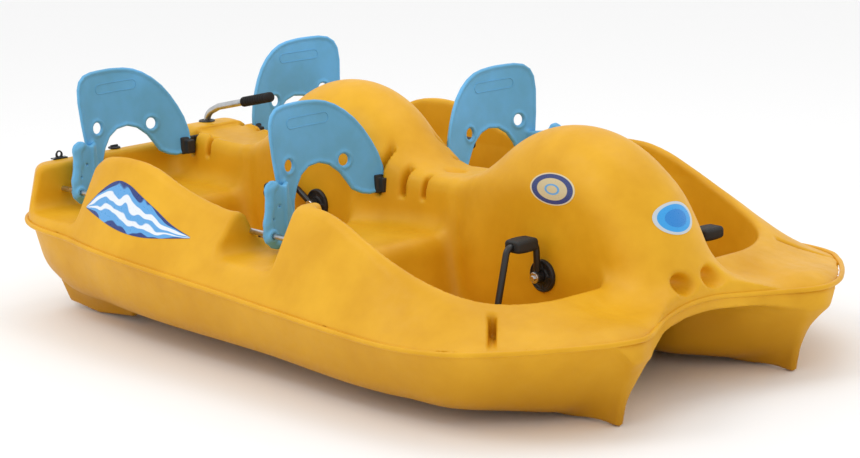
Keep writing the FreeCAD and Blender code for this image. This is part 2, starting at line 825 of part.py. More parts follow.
def make_pedal_washers(row, side):
    """Push-on caps that keep the outer pedal on its pin."""
    end = crank_points(row, side)[4]
    s = SIDES[side]
    start = end.sub(V(0, s * pin_washer_thickness, 0))
    ring = rod_between(start, end, pin_washer_radius)
    return ring.cut(rod_between(start.sub(V(0, s, 0)), end.add(V(0, s, 0)), crank_bar_radius))


def make_crank_bolts(row):
    """A washer-faced bolt in each end of the axle, holding its crank on."""
    half = axle_half_length()
    step = crank_bolt_head_height
    x, z = axle_x[row], axle_z[row]
    bolts = []
    for s in SIDES.values():
        shank = hole_through(x, s * (half - crank_bolt_reach + 4.0), s * half, z, crank_bolt_radius)
        head = hole_through(x, s * half, s * (half + step), z, crank_boss_radius - 1.5)
        cap = hole_through(x, s * (half + step), s * (half + 2.0 * step), z, crank_bolt_head_radius)
        bolts.append(unite([shank, head, cap]))
    return Part.makeCompound(bolts)


# ---------------------------------------------------------------- steering
def roof_z():
    return part_line(tiller_x) - tunnel_roof_drop


def upright(z0, z1, radius):
    """A round bar on the steering axis."""
    return rod_between(V(tiller_x, 0, z0), V(tiller_x, 0, z1), radius)


def make_rudder_tube():
    """Tube that carries the steering shaft through the double wall, sealed top and bottom."""
    z0, z1 = roof_z() - 2.0, console_top
    return upright(z0, z1, rudder_tube_outer).cut(upright(z0 - 1.0, z1 + 1.0, rudder_tube_inner))


def make_tiller_bush(place):
    """Flanged bush pressed into one end of the rudder tube."""
    outward = 1.0 if place == "upper" else -1.0
    face = console_top if place == "upper" else roof_z() - 2.0
    flange = upright(face, face + outward * bush_flange_height, bush_flange_radius)
    body = upright(face - outward * bush_length, face, rudder_tube_inner - press_gap)
    bush = flange.fuse(body).removeSplitter()
    return bush.cut(upright(0.0, 700.0, tiller_radius + running_gap))


def tiller_points():
    """Centre line of the bent steering tube, from its foot to the end of the tiller."""
    x, z = tiller_x, console_top
    points = [V(x, 0, rudder_bottom + 12.0), V(x, 0, z + 26.0)]
    return points + [V(x + 66.0, 0, z + 56.0), V(x + 330.0, 0, z + 116.0)]


def make_tiller_tube():
    """Steel tube: rudder stock below, then bent forward as the tiller."""
    return bar_through(tiller_points(), tiller_radius).removeSplitter()


def make_tiller_grip():
    points = tiller_points()
    along = points[3].sub(points[2]).normalize()
    start = points[3].sub(V(along).multiply(140.0))
    end = points[3].add(V(along).multiply(4.0))
    grip = rod_between(start, end, tiller_grip_radius)
    return grip.cut(rod_between(start.sub(along), points[3], tiller_radius))


def make_rudder():
    plate = [
        (tiller_x + rudder_fore, rudder_top), (tiller_x + rudder_fore - 6.0, rudder_bottom + 60.0),
        (tiller_x + 14.0, rudder_bottom), (tiller_x - rudder_aft + 12.0, rudder_bottom),
        (tiller_x - rudder_aft, rudder_bottom + 20.0), (tiller_x - rudder_aft, rudder_top),
    ]
    blade = prism_xz(plate, -rudder_thickness / 2.0, rudder_thickness / 2.0)
    sleeve = upright(rudder_bottom + 12.0, rudder_top, tiller_radius + rudder_sleeve_wall)
    rudder = blade.fuse(sleeve)
    rudder = rudder.cut(upright(rudder_bottom + 12.0, 700.0, tiller_radius))
    for z in rudder_bolt_heights():
        rudder = rudder.cut(rod_between(V(tiller_x, -30.0, z), V(tiller_x, 30.0, z), rudder_bolt_radius))
    return rudder.removeSplitter()


def rudder_bolt_heights():
    return rudder_bottom + 50.0, rudder_top - 30.0


def make_rudder_bolts():
    """Cross bolts that clamp the rudder on its stock; each is a head and a short shank."""
    bolts = []
    for z in rudder_bolt_heights():
        for s in SIDES.values():
            reach = tiller_radius + rudder_sleeve_wall
            shank = hole_through(tiller_x, s * (tiller_radius + 0.5), s * reach, z, rudder_bolt_radius)
            head = hole_through(tiller_x, s * reach, s * (reach + 4.0), z, rudder_bolt_head_radius)
            bolts.append(shank.fuse(head).removeSplitter())
    return Part.makeCompound(bolts)


# ---------------------------------------------------------------- deck fittings
def eye_places():
    return [(-half_length + eye_inset_x, side * eye_y) for side in SIDES.values()]


def eye_screw_places():
    reach = eye_screw_pitch / 2.0
    return [(x, y + step) for x, y in eye_places() for step in (-reach, reach)]


def plug_places():
    return [(-half_length + eye_inset_x, side * plug_y) for side in SIDES.values()]


def make_mooring_eyes():
    """A drilled lug on each stern corner for a mooring line."""
    eyes = []
    for x, y in eye_places():
        z = stern_deck_z
        base = block(x - 11.0, x + 11.0, y - 26.0, y + 26.0, z, z + 4.0)
        lug = block(x - eye_thickness / 2.0, x + eye_thickness / 2.0, y - 12.0, y + 12.0, z, z + 14.0)
        crown = Part.makeCylinder(12.0, eye_thickness, V(x - eye_thickness / 2.0, y, z + 14.0), V(1, 0, 0))
        eye = base.fuse([lug, crown])
        bore = Part.makeCylinder(eye_bore_radius, 30.0, V(x - 15.0, y, z + 14.0), V(1, 0, 0))
        screws = [rod_between(V(sx, sy, z - 1.0), V(sx, sy, z + 5.0), eye_screw_radius + 0.1)
                  for sx, sy in eye_screw_places()]
        eyes.append(eye.cut(unite([bore] + screws)).removeSplitter())
    return Part.makeCompound(eyes)


def make_mooring_screws():
    screws = []
    for x, y in eye_screw_places():
        z = stern_deck_z
        shank = rod_between(V(x, y, z - 14.0), V(x, y, z + 4.0), eye_screw_radius)
        head = rod_between(V(x, y, z + 4.0), V(x, y, z + 6.5), 2.0 * eye_screw_radius)
        screws.append(shank.fuse(head).removeSplitter())
    return Part.makeCompound(screws)


def make_drain_plugs():
    """Screw-in plug over each pontoon, for draining the hull."""
    plugs = []
    for x, y in plug_places():
        z = stern_deck_z
        stem = rod_between(V(x, y, z - 18.0), V(x, y, z), plug_stem_radius)
        head = rod_between(V(x, y, z), V(x, y, z + 6.0), plug_head_radius)
        grip = block(x - 3.0, x + 3.0, y - 14.0, y + 14.0, z + 6.0, z + 12.0)
        plugs.append(unite([stem, head, grip]))
    return Part.makeCompound(plugs)


def fitting_holes():
    """Holes in the stern deck for the screws and the plugs."""
    z0, z1 = stern_deck_z - 60.0, stern_deck_z + 20.0
    places = [(x, y, eye_screw_radius) for x, y in eye_screw_places()]
    places += [(x, y, plug_stem_radius) for x, y in plug_places()]
    return [rod_between(V(x, y, z0), V(x, y, z1), radius + press_gap) for x, y, radius in places]


# ---------------------------------------------------------------- stickers
def make_side_stickers():
    """A thin wave-shaped sticker on each topside, just ahead of the rear rod pocket."""
    skin = upper_body(-sticker_thickness).cut(upper_body(0.0))
    start = seat_row_x["rear"] + ear_ahead - pocket_behind_ear + pocket_length + 46.0
    wave = [(0.0, 388.0), (50.0, 445.0), (120.0, 482.0), (180.0, 478.0), (240.0, 456.0), (306.0, 430.0),
            (400.0, 394.0), (496.0, 366.0), (400.0, 354.0), (330.0, 346.0), (250.0, 346.0), (150.0, 358.0),
            (70.0, 374.0)]
    cut = prism_xz([(start + dx, z) for dx, z in wave], 300.0, hull_beam)
    sticker = skin.common(cut).removeSplitter()
    return Part.makeCompound(both_sides(sticker))


def oval_face(half_width, half_height):
    """An oval standing in the XZ plane, wider along X."""
    ring = Part.Ellipse(V(0, 0, 0), half_width, half_height).toShape()
    face = Part.Face(Part.Wire([ring]))
    face.rotate(V(0, 0, 0), V(1, 0, 0), 90.0)
    return face


def make_dome_stickers():
    """A thin oval sticker on each flank of the front dome."""
    skin = spine_form(-sticker_thickness).cut(spine_form(0.0))
    oval = oval_face(dome_sticker_half_length, dome_sticker_half_height)
    oval.translate(V(axle_x["front"] + dome_sticker_dx, 0, axle_z["front"] + dome_sticker_dz))
    sticker = skin.common(oval.extrude(V(0, 200.0, 0))).removeSplitter()
    return Part.makeCompound(both_sides(sticker))


def make_bow_badge():
    """A thin oval badge on the front of the bow dome."""
    skin = spine_form(-sticker_thickness).cut(spine_form(0.0))
    oval = oval_face(badge_half_width, badge_half_height)
    oval.rotate(V(0, 0, 0), V(0, 0, 1), 90.0)
    oval.translate(V(axle_x["front"] + 250.0, 0, badge_z))
    return skin.common(oval.extrude(V(200.0, 0, 0))).removeSplitter()


def build():
    os.makedirs("parts", exist_ok=True)
    nodes = {"deck": make_deck(), "hull_bottom": make_hull_bottom()}
    for row in ROWS:
        for side in SIDES:
            seatback = make_seatback(row, side)
            nodes["seatback_%s_%s" % (row, side)] = seatback
            nodes["seat_tab_%s_%s" % (row, side)] = make_seat_tab(row, side, seatback)
            nodes["seat_rod_%s_%s" % (row, side)] = make_seat_rod(row, side)
            nodes["axle_bearing_%s_%s" % (row, side)] = make_axle_bearing(row, side)
            nodes["crank_%s_%s" % (row, side)] = make_crank(row, side)
            nodes["pin_washer_%s_%s" % (row, side)] = make_pedal_washers(row, side)
            for place in ("inner", "outer"):
                nodes["pedal_%s_%s_%s" % (row, side, place)] = make_pedal(row, side, place)
        nodes["axle_%s" % row] = make_axle(row)
        nodes["paddle_wheel_%s" % row] = make_paddle_wheel(row)
        nodes["crank_bolts_%s" % row] = make_crank_bolts(row)
    nodes["rudder_tube"] = make_rudder_tube()
    nodes["tiller_bush_upper"] = make_tiller_bush("upper")
    nodes["tiller_bush_lower"] = make_tiller_bush("lower")
    nodes["tiller_tube"] = make_tiller_tube()
    nodes["tiller_grip"] = make_tiller_grip()
    nodes["rudder"] = make_rudder()
    nodes["rudder_bolts"] = make_rudder_bolts()
    nodes["mooring_eyes"] = make_mooring_eyes()
    nodes["mooring_screws"] = make_mooring_screws()
    nodes["drain_plugs"] = make_drain_plugs()
    nodes["side_stickers"] = make_side_stickers()
    nodes["dome_stickers"] = make_dome_stickers()
    nodes["bow_badge"] = make_bow_badge()
    for name, shape in nodes.items():
        shape.exportStep("parts/%s.step" % name)


build()
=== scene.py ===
import itertools
import math

import bmesh
import bpy
import numpy as np
from mathutils import Matrix, Vector


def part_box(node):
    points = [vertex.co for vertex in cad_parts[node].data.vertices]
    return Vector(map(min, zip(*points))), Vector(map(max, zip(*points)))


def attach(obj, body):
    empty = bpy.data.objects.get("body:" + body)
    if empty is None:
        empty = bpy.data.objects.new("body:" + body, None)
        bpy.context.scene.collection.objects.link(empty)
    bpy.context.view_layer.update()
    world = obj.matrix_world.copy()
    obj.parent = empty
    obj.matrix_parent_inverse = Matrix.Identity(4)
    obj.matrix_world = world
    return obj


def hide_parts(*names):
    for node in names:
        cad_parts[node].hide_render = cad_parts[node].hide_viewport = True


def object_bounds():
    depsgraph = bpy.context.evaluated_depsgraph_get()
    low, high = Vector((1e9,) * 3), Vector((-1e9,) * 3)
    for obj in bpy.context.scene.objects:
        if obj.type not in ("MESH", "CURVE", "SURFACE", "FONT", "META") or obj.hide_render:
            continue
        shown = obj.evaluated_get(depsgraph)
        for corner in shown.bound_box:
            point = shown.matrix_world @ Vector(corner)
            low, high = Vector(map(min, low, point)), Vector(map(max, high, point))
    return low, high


bl_info = {
    "name": "Pedal Boat Parts",
    "version": (1, 0, 0),
    "blender": (4, 5, 0),
    "location": "3D View > Sidebar > Pedal Boat",
    "description": "Builds the finished pieces of a moulded pedal boat around its CAD frame",
    "category": "Object",
}

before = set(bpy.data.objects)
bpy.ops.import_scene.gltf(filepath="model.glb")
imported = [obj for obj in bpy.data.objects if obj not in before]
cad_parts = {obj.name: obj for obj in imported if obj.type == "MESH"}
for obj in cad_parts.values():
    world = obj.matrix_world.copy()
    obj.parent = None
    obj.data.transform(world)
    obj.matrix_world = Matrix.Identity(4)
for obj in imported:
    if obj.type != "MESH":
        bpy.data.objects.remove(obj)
cad_low, cad_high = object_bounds()

SIDES = {"starboard": -1.0, "port": 1.0}
ROWS = ("front", "rear")
HALF_LENGTH = cad_high.x - 0.010
HALF_BEAM = cad_high.y - 0.010
AXLE = {"front": (0.600, 0.295), "rear": (-0.345, 0.365)}
DOME_RADIUS = {"front": 0.392, "rear": 0.352}
DOME_HALF = 0.150
SEAT_X = {"front": -0.110, "rear": -1.030}
ROD_Y = 0.575
ROD_Z = 0.382
ROD_RADIUS = 0.008
STERN_DECK_Z = 0.462
CONSOLE_TOP = 0.506
TILLER_X = -1.078
HOUSING_RADIUS = 0.243
HOUSING_HALF = 0.106
SKEG_Y = 0.350
FIN_Y = 0.545
EYE_Y = 0.540
PLUG_Y = 0.330
CAMERA_PLACE = (5.667, -5.210, 2.049)
CAMERA_YAW, CAMERA_PITCH, CAMERA_ROLL = 2.39841, 0.222201, -0.0285055
CAMERA_LENS = 112.43
CAMERA_SHIFT = -0.0078


# ------------------------------------------------------------------ smooth shapes
def smooth_max(a, b, radius):
    share = np.clip(0.5 + 0.5 * (a - b) / radius, 0.0, 1.0)
    return b + (a - b) * share + radius * share * (1.0 - share)


def smooth_min(a, b, radius):
    return -smooth_max(-a, -b, radius)


def ease(value, start, end):
    t = np.clip((value - start) / (end - start), 0.0, 1.0)
    return t * t * (3.0 - 2.0 * t)


def curve(x, points):
    """Smooth value at x of a table of (x, value), held beyond its ends."""
    px, pv = np.array(points, np.float64).T
    slopes = np.gradient(pv, px)
    x = np.clip(x, px[0], px[-1])
    i = np.clip(np.searchsorted(px, x) - 1, 0, len(px) - 2)
    step = px[i + 1] - px[i]
    t = (x - px[i]) / step
    t2, t3 = t * t, t * t * t
    return (
        (2 * t3 - 3 * t2 + 1) * pv[i] + (t3 - 2 * t2 + t) * step * slopes[i]
        + (3 * t2 - 2 * t3) * pv[i + 1] + (t3 - t2) * step * slopes[i + 1]
    )


def slope_of(function, value, step=0.004):
    return (function(value + step) - function(value - step)) / (2.0 * step)


# ------------------------------------------------------------------ hull lines
SIDE_LINE = [(-1.0, 0.79), (-0.965, 0.845), (-0.667, 0.958), (0.0, 0.99), (0.40, 0.999), (0.556, 0.996),
             (0.66, 0.978), (0.74, 0.938), (0.82, 0.87), (0.92, 0.72), (1.0, 0.55)]
BOW_LINE = [(0.0, 0.886), (0.10, 0.889), (0.19, 0.902), (0.335, 0.951), (0.41, 0.981), (0.455, 0.990),
            (0.51, 0.985), (0.59, 0.962), (0.67, 0.925), (0.76, 0.876), (0.865, 0.806), (0.936, 0.738),
            (0.978, 0.66), (0.996, 0.556), (1.04, 0.40)]
RIM_LINE = [(-1.17, 0.306), (-0.4, 0.272), (0.2, 0.242), (0.65, 0.228), (0.95, 0.241), (1.17, 0.254)]
GUNWALE_LINE = [(-1.17, 0.462), (-1.08, 0.462), (-0.98, 0.468), (-0.86, 0.480), (-0.80, 0.505), (-0.76, 0.527),
                (-0.70, 0.539), (-0.61, 0.542), (-0.52, 0.530), (-0.40, 0.490), (-0.29, 0.462), (-0.17, 0.446),
                (-0.04, 0.447), (0.06, 0.480), (0.12, 0.503), (0.19, 0.510), (0.26, 0.505), (0.32, 0.490),
                (0.42, 0.450), (0.54, 0.400), (0.69, 0.348), (0.80, 0.320), (0.90, 0.307), (1.02, 0.295),
                (1.10, 0.284), (1.19, 0.269)]
SETBACK_LINE = [(-1.18, 0.018), (-1.13, 0.028), (-1.04, 0.056), (-0.90, 0.100), (-0.70, 0.128), (0.0, 0.150),
                (0.65, 0.150), (0.78, 0.180), (0.88, 0.215), (0.98, 0.160), (1.08, 0.050), (1.18, 0.010)]
SPINE_LINE = [(-1.17, 0.506), (-1.04, 0.506), (-0.80, 0.488), (-0.64, 0.500), (-0.30, 0.500), (-0.06, 0.494),
              (0.05, 0.496), (0.20, 0.500), (0.60, 0.50), (0.78, 0.50), (0.87, 0.470), (0.95, 0.372),
              (1.00, 0.318), (1.06, 0.282)]
FOOT_NOSE_LINE = [(0.05, 0.690), (0.11, 0.742), (0.18, 0.792), (0.24, 0.824), (0.30, 0.844), (0.50, 0.850)]
NECK_LINE = [(-1.17, 0.118), (0.60, 0.110), (0.85, 0.105), (0.95, 0.125), (1.06, 0.170)]
# place along the half length, then chine, keel and tunnel corners of the lower moulding
LOWER_LINES = [
    (-1.0, 0.745, 0.205, 0.66, 0.36, 0.170, 0.20, 0.200),
    (-0.94, 0.80, 0.140, 0.68, 0.34, 0.095, 0.18, 0.120),
    (-0.87, 0.835, 0.120, 0.68, 0.33, 0.058, 0.17, 0.084),
    (-0.62, 0.875, 0.096, 0.62, 0.32, 0.030, 0.165, 0.056),
    (0.0, 0.90, 0.080, 0.60, 0.32, 0.016, 0.165, 0.048),
    (0.50, 0.895, 0.062, 0.59, 0.33, 0.010, 0.165, 0.046),
    (0.68, 0.84, 0.066, 0.58, 0.34, 0.010, 0.17, 0.052),
    (0.80, 0.70, 0.104, 0.54, 0.37, 0.026, 0.27, 0.078),
    (0.90, 0.585, 0.164, 0.49, 0.40, 0.084, 0.33, 0.150),
    (0.95, 0.53, 0.190, 0.47, 0.41, 0.130, 0.365, 0.180),
    (1.0, 0.53, 0.215, 0.50, 0.46, 0.190, 0.44, 0.205),
]
SKEG = [(0.76, 0.022), (0.893, 0.0), (0.909, 0.0), (0.935, 0.140), (0.955, 0.200), (0.80, 0.200)]
FIN = [(-0.985, 0.130), (-0.985, 0.095), (-0.935, 0.018), (-0.81, 0.003), (-0.66, 0.022), (-0.60, 0.110)]


def side_width(x):
    return HALF_BEAM * curve(x / HALF_LENGTH, SIDE_LINE)


def bow_reach(y):
    return HALF_LENGTH * curve(y / HALF_BEAM, BOW_LINE)


def rim_height(x):
    return curve(x, RIM_LINE)


def rim_line_height(x, y):
    """Height of the meeting line, which arches up a little at the middle of the bow."""
    return rim_height(x) + 0.020 * np.exp(-((y / 0.17) ** 2)) * ease(x, 0.75, 0.95)


def plan_distance(x, y, z):
    """How far outside the hull's sides, and its whole plan outline, a point is."""
    side = (y - side_width(x)) / np.sqrt(1.0 + slope_of(side_width, x) ** 2)
    bow = (x - bow_reach(y)) / np.sqrt(1.0 + slope_of(bow_reach, y) ** 2)
    mix = ease(x, 0.68 * HALF_LENGTH, 0.82 * HALF_LENGTH)
    edge = side * (1.0 - mix) + bow * mix
    stern_x = HALF_LENGTH - 0.024 * ease(z, 0.300, 0.480) - 0.03 * ease(0.300 - z, 0.0, 0.12)
    return edge, smooth_max(edge, -x - stern_x, 0.05)


def rim_path(count=360):
    """Points all round the hull's widest outline, where its two mouldings meet."""
    ring = []
    for k in range(count):
        angle = 2.0 * math.pi * k / count
        out = np.array((math.cos(angle) * HALF_LENGTH, math.sin(angle) * HALF_BEAM))
        near, far = 0.3, 1.6
        for _ in range(30):
            middle = 0.5 * (near + far)
            x, y = out * middle
            _, plan = plan_distance(np.array([x]), np.array([abs(y)]), rim_height(np.array([x])))
            near, far = (near, middle) if plan[0] > 0.0 else (middle, far)
        x, y = out * near
        ring.append((x, y, float(rim_line_height(np.array([x]), np.array([y]))[0]) + 0.0015))
    return ring


def polygon_distance(u, v, points):
    """Signed distance to a polygon in the plane; negative inside."""
    best, inside = None, None
    for (ua, va), (ub, vb) in zip(points, points[1:] + points[:1]):
        eu, ev = ub - ua, vb - va
        t = np.clip(((u - ua) * eu + (v - va) * ev) / (eu * eu + ev * ev), 0.0, 1.0)
        gap = (u - ua - t * eu) ** 2 + (v - va - t * ev) ** 2
        best = gap if best is None else np.minimum(best, gap)
        crosses = ((va > v) != (vb > v)) & (u < ua + (v - va) * eu / (ev if ev else 1e-9))
        inside = crosses if inside is None else inside ^ crosses
    return np.where(inside, -1.0, 1.0) * np.sqrt(best)


def lower_distance(x, y, z, rim_y, rim_z):
    """The two pontoons and the roof of the tunnel between them."""
    share = x / HALF_LENGTH
    rows = np.array(LOWER_LINES)
    chine_y, chine_z, out_y, in_y, keel_z, tun_y, tun_z = [
        curve(share, list(zip(rows[:, 0], rows[:, k]))) for k in range(1, 8)
    ]
    chine_y, out_y, in_y, tun_y = [v * HALF_BEAM for v in (chine_y, out_y, in_y, tun_y)]
    roof_y = 0.125 + 0.8 * np.maximum(tun_y - 0.14, 0.0)
    roof_z = rim_z - 0.034
    rim_y = rim_y - 0.013 * ease(-x, -1.02, -0.80) - 0.004

    def plane(y0, z0, y1, z1):
        dy, dz = y1 - y0, z1 - z0
        return ((y - y0) * -dz + (z - z0) * dy) / np.sqrt(dy * dy + dz * dz)

    topside = plane(rim_y, rim_z, chine_y, chine_z)
    bilge = plane(chine_y, chine_z, out_y, keel_z)
    inner = plane(in_y, keel_z, tun_y, tun_z)
    wall = plane(tun_y, tun_z, roof_y, roof_z)
    outside = smooth_max(smooth_max(topside, bilge, 0.05), keel_z - z, 0.035)
    inside = smooth_max(inner, wall, 0.06)
    inside = smooth_min(inside, roof_z - z, 0.05)
    body = smooth_max(outside, inside, 0.03)
    skeg = polygon_distance(share, z / HALF_LENGTH, [(a, b / HALF_LENGTH) for a, b in SKEG]) * HALF_LENGTH
    skeg = smooth_max(skeg, np.abs(y - SKEG_Y) - 0.013, 0.016)
    fin = polygon_distance(share, z / HALF_LENGTH, [(a, b / HALF_LENGTH) for a, b in FIN]) * HALF_LENGTH
    fin = smooth_max(fin, np.abs(y - FIN_Y) - 0.014, 0.014)
    return smooth_min(smooth_min(body, skeg, 0.06), fin, 0.04)


def wells_distance(x, y, z, gunwale_y):
    """Seat wells and foot wells, taken across the whole boat; negative inside."""
    rear = SEAT_X["rear"]
    foot_edge = gunwale_y - 0.026 - 0.10 * np.maximum(0.42 - z, 0.0)
    seat_edge = 0.548 - 0.06 * np.maximum(0.45 - z, 0.0)
    foot_f = smooth_max(0.196 + 0.30 * (0.346 - z) - x, 0.110 - z, 0.09)
    nose = curve(z, FOOT_NOSE_LINE)
    foot_f = smooth_max(foot_f, smooth_max((x - nose) / 1.15, (y - foot_edge), 0.17), 0.07)
    foot_r = smooth_max(rear + 0.290 + 0.30 * (0.356 - z) - x, 0.175 - z, 0.09)
    foot_r = smooth_max(foot_r, x - (-0.178 - 0.36 * (0.342 - z)), 0.08)
    foot_r = smooth_max(foot_r, y - foot_edge, 0.07)
    seat_f = smooth_max(np.maximum(-0.178 - x, x - 0.200), 0.347 + 0.02 * x - z, 0.05)
    seat_f = smooth_max(seat_f, y - seat_edge, 0.07)
    seat_r = smooth_max(np.maximum(rear - 0.058 - x, x - (rear + 0.297)), 0.350 - z, 0.06)
    seat_r = smooth_max(seat_r, y - seat_edge, 0.07)
    wells = smooth_min(foot_f, seat_f, 0.05)
    wells = smooth_min(wells, smooth_min(foot_r, seat_r, 0.05), 0.05)
    return wells


def whole_distance(x, y, z):
    """The whole moulded hull; negative inside the plastic."""
    y = np.abs(y)
    edge, plan = plan_distance(x, y, z)
    rim_y = side_width(x)
    rim_z = rim_line_height(x, y)
    gunwale_z = curve(x, GUNWALE_LINE)
    setback = curve(x, SETBACK_LINE)
    lean = setback / (gunwale_z - rim_z)
    topside = (edge + lean * (z - rim_z)) / np.sqrt(1.0 + lean * lean)
    topside = smooth_max(topside, plan, 0.012)
    upper = smooth_max(topside, z - gunwale_z, 0.024 + 0.03 * ease(x, 0.70, 0.90))
    wells = wells_distance(x, y, z, rim_y - setback)
    upper = smooth_max(upper, -wells, 0.020)
    for row in ROWS:
        start = SEAT_X[row] - 0.040
        pocket = np.maximum(start - x, x - start - 0.262)
        pocket = smooth_max(pocket, 0.328 - z, 0.045)
        pocket = smooth_max(pocket, 0.525 - y, 0.03)
        upper = smooth_max(upper, -pocket, 0.020)
    along, beside = (x - 0.83 + y - 0.58) / math.sqrt(2.0), (x - 0.83 - y + 0.58) / math.sqrt(2.0)
    groove = smooth_max(np.abs(beside) - 0.010, np.maximum(-0.02 - along, along - 0.20), 0.010)
    upper = smooth_max(upper, -smooth_max(groove, rim_z + 0.005 - z, 0.01), 0.012)
    spine_z = curve(x, SPINE_LINE)
    neck = curve(x, NECK_LINE) + 0.05 * np.maximum(0.47 - z, 0.0)
    spine = smooth_max(y - neck, z - spine_z, 0.05 + 0.09 * ease(x, 0.75, 0.95))
    spine = smooth_max(spine, -x - 1.128, 0.05)
    for row in ROWS:
        ax, az = AXLE[row]
        out = np.sqrt((x - ax) ** 2 + np.maximum(z - az, 0.0) ** 2) - (DOME_RADIUS[row] - DOME_HALF)
        dome = np.sqrt(np.maximum(out, 0.0) ** 2 + y * y) - DOME_HALF
        spine = smooth_min(spine, dome, 0.10)
    tray = smooth_max(np.abs(x + 0.830) - 0.190, y - 0.088, 0.03)
    tray = smooth_max(tray, spine_z - 0.013 - z, 0.008)
    spine = smooth_max(spine, -tray, 0.008)
    for row, count in (("front", 3), ("rear", 2)):
        for k in range(count):
            slot_x = SEAT_X[row] + 0.0248 + 0.077 * k
            slot = smooth_max(np.abs(x - slot_x) - 0.009, 0.424 - z, 0.012)
            slot = smooth_max(slot, 0.082 - y, 0.008)
            spine = smooth_max(spine, -slot, 0.010)
    spine = smooth_max(spine, plan + 0.02, 0.03)
    top = smooth_min(upper, spine, 0.055 + 0.07 * ease(x, 0.84, 0.97))
    dent = np.sqrt(((x - 0.090) / 1.5) ** 2 + y ** 2 + (z - 0.500) ** 2) - 0.022
    top = smooth_max(top, -dent, 0.015)
    nostril = ((x - 1.030) / 1.9) ** 2 + ((y - 0.056) / 1.05) ** 2 + ((z - 0.318) / 0.8) ** 2
    nostril = np.sqrt(nostril) - 0.034
    top = smooth_max(top, -nostril, 0.022)
    lower = lower_distance(x, y, z, rim_y, rim_z) - 0.07 * ease(z, rim_z - 0.005, rim_z + 0.004)
    hull = smooth_max(smooth_max(top, lower, 0.006), plan, 0.006)
    for row in ROWS:
        ax, az = AXLE[row]
        housing = np.sqrt((x - ax) ** 2 + np.maximum(z - az, 0.0) ** 2) - HOUSING_RADIUS
        hull = smooth_max(hull, -smooth_max(housing, y - HOUSING_HALF, 0.02), 0.008)
    return hull


def below_deck(x, y, z):
    """Negative where the plastic belongs to the lower moulding."""
    y = np.abs(y)
    rim_z = rim_line_height(x, y)
    low = np.where(x > 0.0, 0.085 + 0.12 * ease(x, 0.72, 0.86), 0.148)
    zone = np.maximum(0.112 - y, y - side_width(x) + 0.10 + 1.2 * np.maximum(x - 0.70, 0.0))
    zone = np.maximum(zone, np.minimum(np.abs(x - 0.52) - 0.35, np.abs(x + 0.47) - 0.33))
    return np.minimum(z - low, np.maximum(z - rim_z + 0.005, -zone))


# ------------------------------------------------------------------ surface from a shape
CORNERS = [(i, j, k) for i in (0, 1) for j in (0, 1) for k in (0, 1)]
EDGES = [(a, b) for a in range(8) for b in range(a + 1, 8)
         if sum(abs(p - q) for p, q in zip(CORNERS[a], CORNERS[b])) == 1]


def gradient(function, p, step=0.0008):
    columns = []
    for axis in range(3):
        shift = np.zeros(3)
        shift[axis] = step
        ahead, behind = p + shift, p - shift
        columns.append((function(*ahead.T) - function(*behind.T)) / (2.0 * step))
    return np.stack(columns, 1)


def settle(function, p, limit):
    """Moves points onto the zero surface of function."""
    g = gradient(function, p)
    step = function(*p.T)[:, None] * g / np.maximum((g * g).sum(1), 0.05)[:, None]
    size = np.sqrt((step * step).sum(1))[:, None]
    return p - step * np.minimum(1.0, limit / np.maximum(size, 1e-9))


def grid_values(function, xs, ys, zs):
    values = np.empty((len(xs), len(ys), len(zs)), np.float32)
    for start in range(0, len(xs), 24):
        part = xs[start:start + 24, None, None]
        values[start:start + 24] = function(part, ys[None, :, None], zs[None, None, :])
    return values


